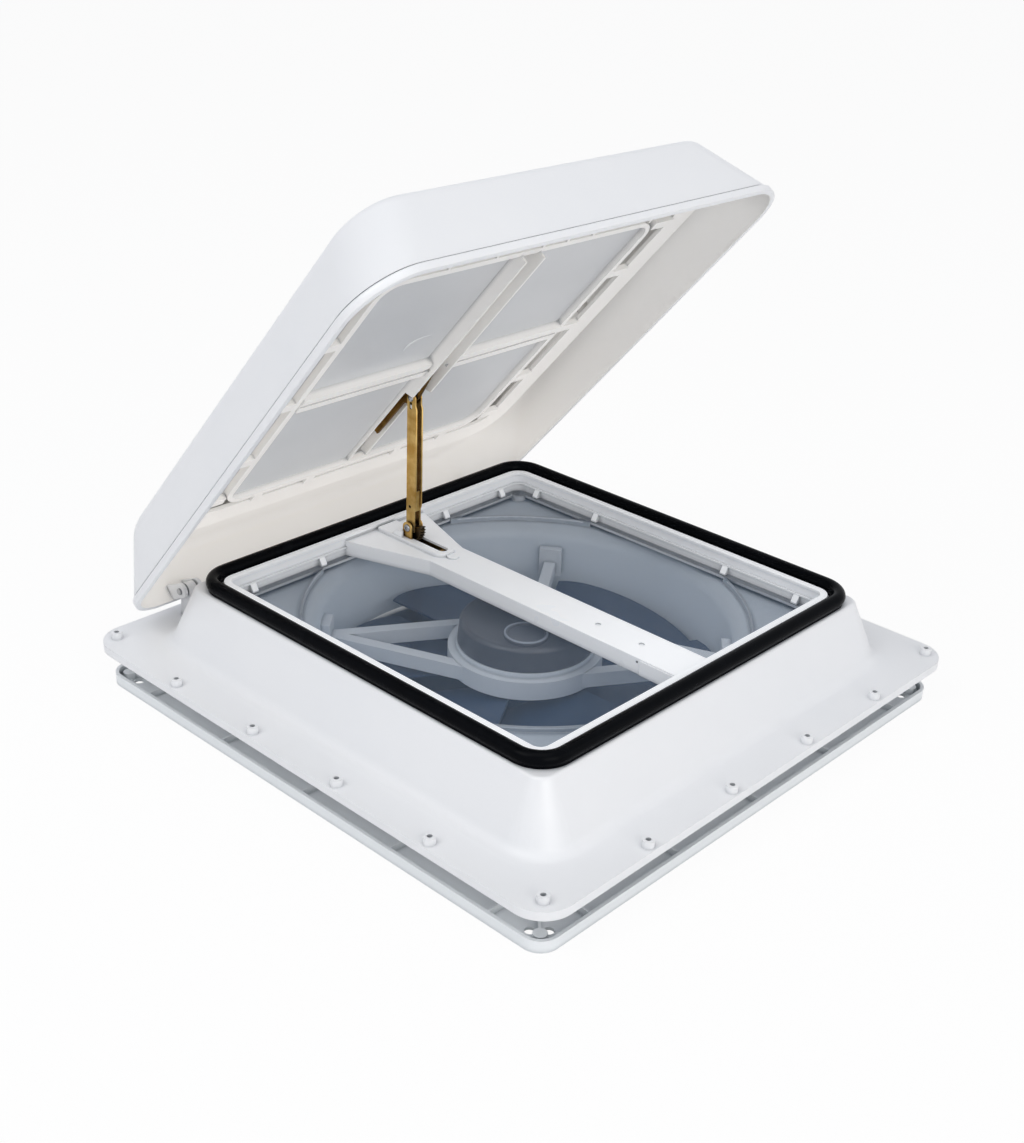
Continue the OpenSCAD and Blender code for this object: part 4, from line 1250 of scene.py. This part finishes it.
    def build_ear(self, number: int, x: float) -> Piece:
        """Models one hinge ear: its outline, extruded and bored.

        Args:
            number: Number of the ear.
            x: Middle of its thickness.

        Returns:
            The ear, in the hinge frame.
        """
        steps = self.ear_steps
        outline = []
        for begin, goal in zip(self.ear_corners, self.ear_corners[1:]):
            for step in range(steps):
                outline.append(Vector(begin).lerp(Vector(goal), step / steps))
        for step in range(2 * steps):
            angle = math.pi / 2 + math.pi * step / (2 * steps)
            outline.append(polar(self.ear_round, angle).to_2d())
        bore = [point.normalized() * self.ear_bore for point in outline]
        half, soft = self.ear_thick / 2, self.ear_soft
        inner = [point * (1 - soft / point.length) for point in outline]
        layers = [
            (outline, -half + soft),
            (outline, half - soft),
            (inner, half),
            (bore, half),
            (bore, -half),
            (inner, -half),
            (outline, -half + soft),
        ]
        rings = [[Vector((x + level, point.x, point.y)) * MM for point in layer] for layer, level in layers]
        ear = Bench.ring_up(f"lid_ear_{number}", rings, closed_ends=False)
        Bench.weld(ear)
        return ear

    def build_dome(self) -> None:
        """Models the dome from the middle of its inside, round its rim, to the middle of its top."""
        inner = self.wall(self.skin)
        outer = self.wall(0.0)
        low, high = self.rim, self.rim + self.bead_high
        foot, deep = self.bead_wide + self.skin, self.bead_wide + self.groove
        bead = [
            (foot, low + self.foot_round),
            (foot - self.foot_round, low),
            *((inset, low + rise) for inset, rise in self.bead_lower),
            *((inset, high + rise) for inset, rise in self.bead_upper),
            (self.bead_wide - self.bead_lip, high),
            (deep, high),
            (deep, high + self.groove),
        ]
        rim = [[Vector((p.x, p.y, z)) for p, _ in self.rim_outline(inset)] for inset, z in bead]
        rings = [*reversed(inner), *rim, *outer]
        dome = Bench.ring_up("lid_dome", [[p * MM for p in ring] for ring in rings])
        middle = Vector((0, -(self.reach - self.tail) / 2, high)) * MM
        inside = [face.index for face in dome.data.polygons if face.normal.dot(face.center - middle) < 0]
        spots = [side * self.hinge_x + gap for side in (-1, 1) for gap in (-self.ear_gap, self.ear_gap)]
        dome = Bench.join([dome, *(self.build_ear(number, x) for number, x in enumerate(spots))])
        Bench.set_down(dome, self.place())
        Bench.smooth(dome, 40)
        Bench.fit(dome, Body.LID, Slot.WHITE, WHITE_ABS, "lid_shell")
        dome.data.materials.append(DOME_INSIDE.material())
        for index in inside:
            dome.data.polygons[index].material_index = 1

    def build_gate_mark(self) -> None:
        """Models the crescent that the mould's gate left on one pane."""
        path = [Vector((x, y, self.mark_level)) for x, y, _ in self.mark_path]
        rings = []
        for number, (point, (_, _, half)) in enumerate(zip(path, self.mark_path)):
            along = path[min(number + 1, len(path) - 1)] - path[max(number - 1, 0)]
            aside = along.cross(Vector((0, 0, 1))).normalized()
            ring = []
            for angle in circle(self.mark_steps):
                rise = Vector((0, 0, half * math.sin(angle)))
                ring.append((point + aside * half * math.cos(angle) + rise) * MM)
            rings.append(ring)
        mark = Bench.ring_up("pane_gate_mark", rings)
        Bench.set_down(mark, self.place())
        Bench.smooth(mark, 60)
        Bench.fit(mark, Body.LID, Slot.PANE, PANE_ACRYLIC)

    def build(self) -> None:
        """Builds the lid's own pieces and dresses its nodes."""
        self.dress()
        self.build_dome()
        self.build_gate_mark()


@dataclass(frozen=True)
class SoftBox:
    """A square soft lamp: its place and width in metres, its power in watts and its colour."""

    name: str
    spot: Triple
    size: float
    watts: float
    tone: str = "#FFFFFF"

    def hang(self, aim: Triple) -> None:
        """Hangs the lamp so that it looks at a point.

        Args:
            aim: The point in metres.
        """
        data = bpy.data.lights.new(self.name, "AREA")
        data.shape = "SQUARE"
        data.size = self.size
        data.energy = self.watts
        data.color = linear(self.tone)[:3]
        lamp = bpy.data.objects.new(self.name, data)
        bpy.context.scene.collection.objects.link(lamp)
        way = Vector(aim) - Vector(self.spot)
        lamp.location = self.spot
        lamp.rotation_euler = way.to_track_quat("-Z", "Y").to_euler()


WARM_WHITE = "#FFFCF8"
LAMPS = (
    SoftBox("low_left_soft_box", (-0.7, -2.1, 0.75), 1.4, 15, WARM_WHITE),
    SoftBox("low_right_soft_box", (0.9, -2.1, 0.75), 1.4, 3, WARM_WHITE),
    SoftBox("left_soft_box", (-1.55, 0.3, 1.8), 1.2, 14),
    SoftBox("top_soft_box", (-0.5, -0.5, 2.6), 1.8, 13),
)


@dataclass
class Studio:
    """Pale floor, lamps and the camera of the photograph. Millimetres, except where named in metres."""

    floor_z: float = -28.5
    floor_metres: float = 24.0
    floor_tone: str = "#FAFAFB"
    floor_roughness: float = 0.9
    # Painted shade: a dark disc on the floor under the fan, seen through the duct.
    shade_under_fan: str = "#2E3C4C"
    footprint: float = 150.0
    footprint_blur: float = 20.0
    glow: float = 0.93
    position: Triple = (-749.2, -669.5, 561.5)
    right: Triple = (0.6880, -0.7247, 0.0370)
    up: Triple = (0.2978, 0.3284, 0.8963)
    back: Triple = (-0.6617, -0.6057, 0.4418)
    lens: float = 54.9
    sensor: float = 36.0
    clip_metres: float = 0.01
    room_tone: str = "#F8FAFF"
    ambient: float = 0.42
    aim_metres: Triple = (0.0, 0.0, 0.1)

    def build_camera(self) -> None:
        """Sets the camera where the photograph was taken from."""
        data = bpy.data.cameras.new("photo_camera")
        data.sensor_fit = "HORIZONTAL"
        data.sensor_width = self.sensor
        data.lens = self.lens
        data.clip_start = self.clip_metres
        camera = bpy.data.objects.new("photo_camera", data)
        bpy.context.scene.collection.objects.link(camera)
        axes = Matrix((self.right, self.up, self.back)).transposed().to_4x4()
        camera.matrix_world = Matrix.Translation(Vector(self.position) * MM) @ axes
        bpy.context.scene.camera = camera

    def build_floor(self) -> None:
        """Lays a pale floor that shows white and keeps the shadow, with a disc of painted shade under the
        fan.
        """
        Bench.clear()
        bpy.ops.mesh.primitive_plane_add(size=self.floor_metres, location=(0, 0, self.floor_z * MM))
        floor = Bench.take("studio_floor")
        made = bpy.data.materials.new("matt_studio_floor")
        made.use_nodes = True
        nodes = made.node_tree.nodes
        paint = Painter(made.node_tree)
        matt = nodes["Principled BSDF"]
        matt.inputs["Roughness"].default_value = self.floor_roughness
        # Inside the footprint the floor takes the painted shade tone and does not glow.
        away = paint.node("ShaderNodeVectorMath", {"operation": "LENGTH"}, {0: paint.place()})
        edge = (self.footprint * MM, (self.footprint + self.footprint_blur) * MM)
        clear = paint.span(away.outputs["Value"], (0.0, 1.0), edge)
        paint.link(paint.blend(clear, self.shade_under_fan, self.floor_tone), matt, "Base Color")
        share = paint.span(paint.reckon("MULTIPLY", paint.seen(), clear), (0.0, self.glow))
        glow = paint.node("ShaderNodeEmission", {"Strength": 1.0})
        surfaces = {0: share, 1: matt.outputs["BSDF"], 2: glow.outputs["Emission"]}
        mixed = paint.node("ShaderNodeMixShader", {}, surfaces)
        paint.link(mixed.outputs["Shader"], nodes["Material Output"], "Surface")
        floor.data.materials.append(made)

    def build_world(self) -> None:
        """Fills the room with even light, and white where a ray sees it."""
        world = bpy.data.worlds.new("studio_room")
        bpy.context.scene.world = world
        world.use_nodes = True
        paint = Painter(world.node_tree)
        background = world.node_tree.nodes["Background"]
        background.inputs["Color"].default_value = linear(self.room_tone)
        paint.link(paint.span(paint.seen(), (self.ambient, 1.0)), background, "Strength")

    def build(self) -> None:
        """Builds the whole studio."""
        bpy.context.scene.view_settings.view_transform = "Standard"
        self.build_camera()
        self.build_floor()
        self.build_world()
        for lamp in LAMPS:
            lamp.hang(self.aim_metres)


def main() -> None:
    """Builds the sub-assemblies in order, then the studio."""
    logging.basicConfig(level=logging.INFO, format="%(name)s %(message)s")
    RoofBase().dress()
    Throat().dress()
    LiftGear().build()
    Extractor().build()
    VentLid().build()
    Studio().build()


if __name__ == "__main__":
    main()
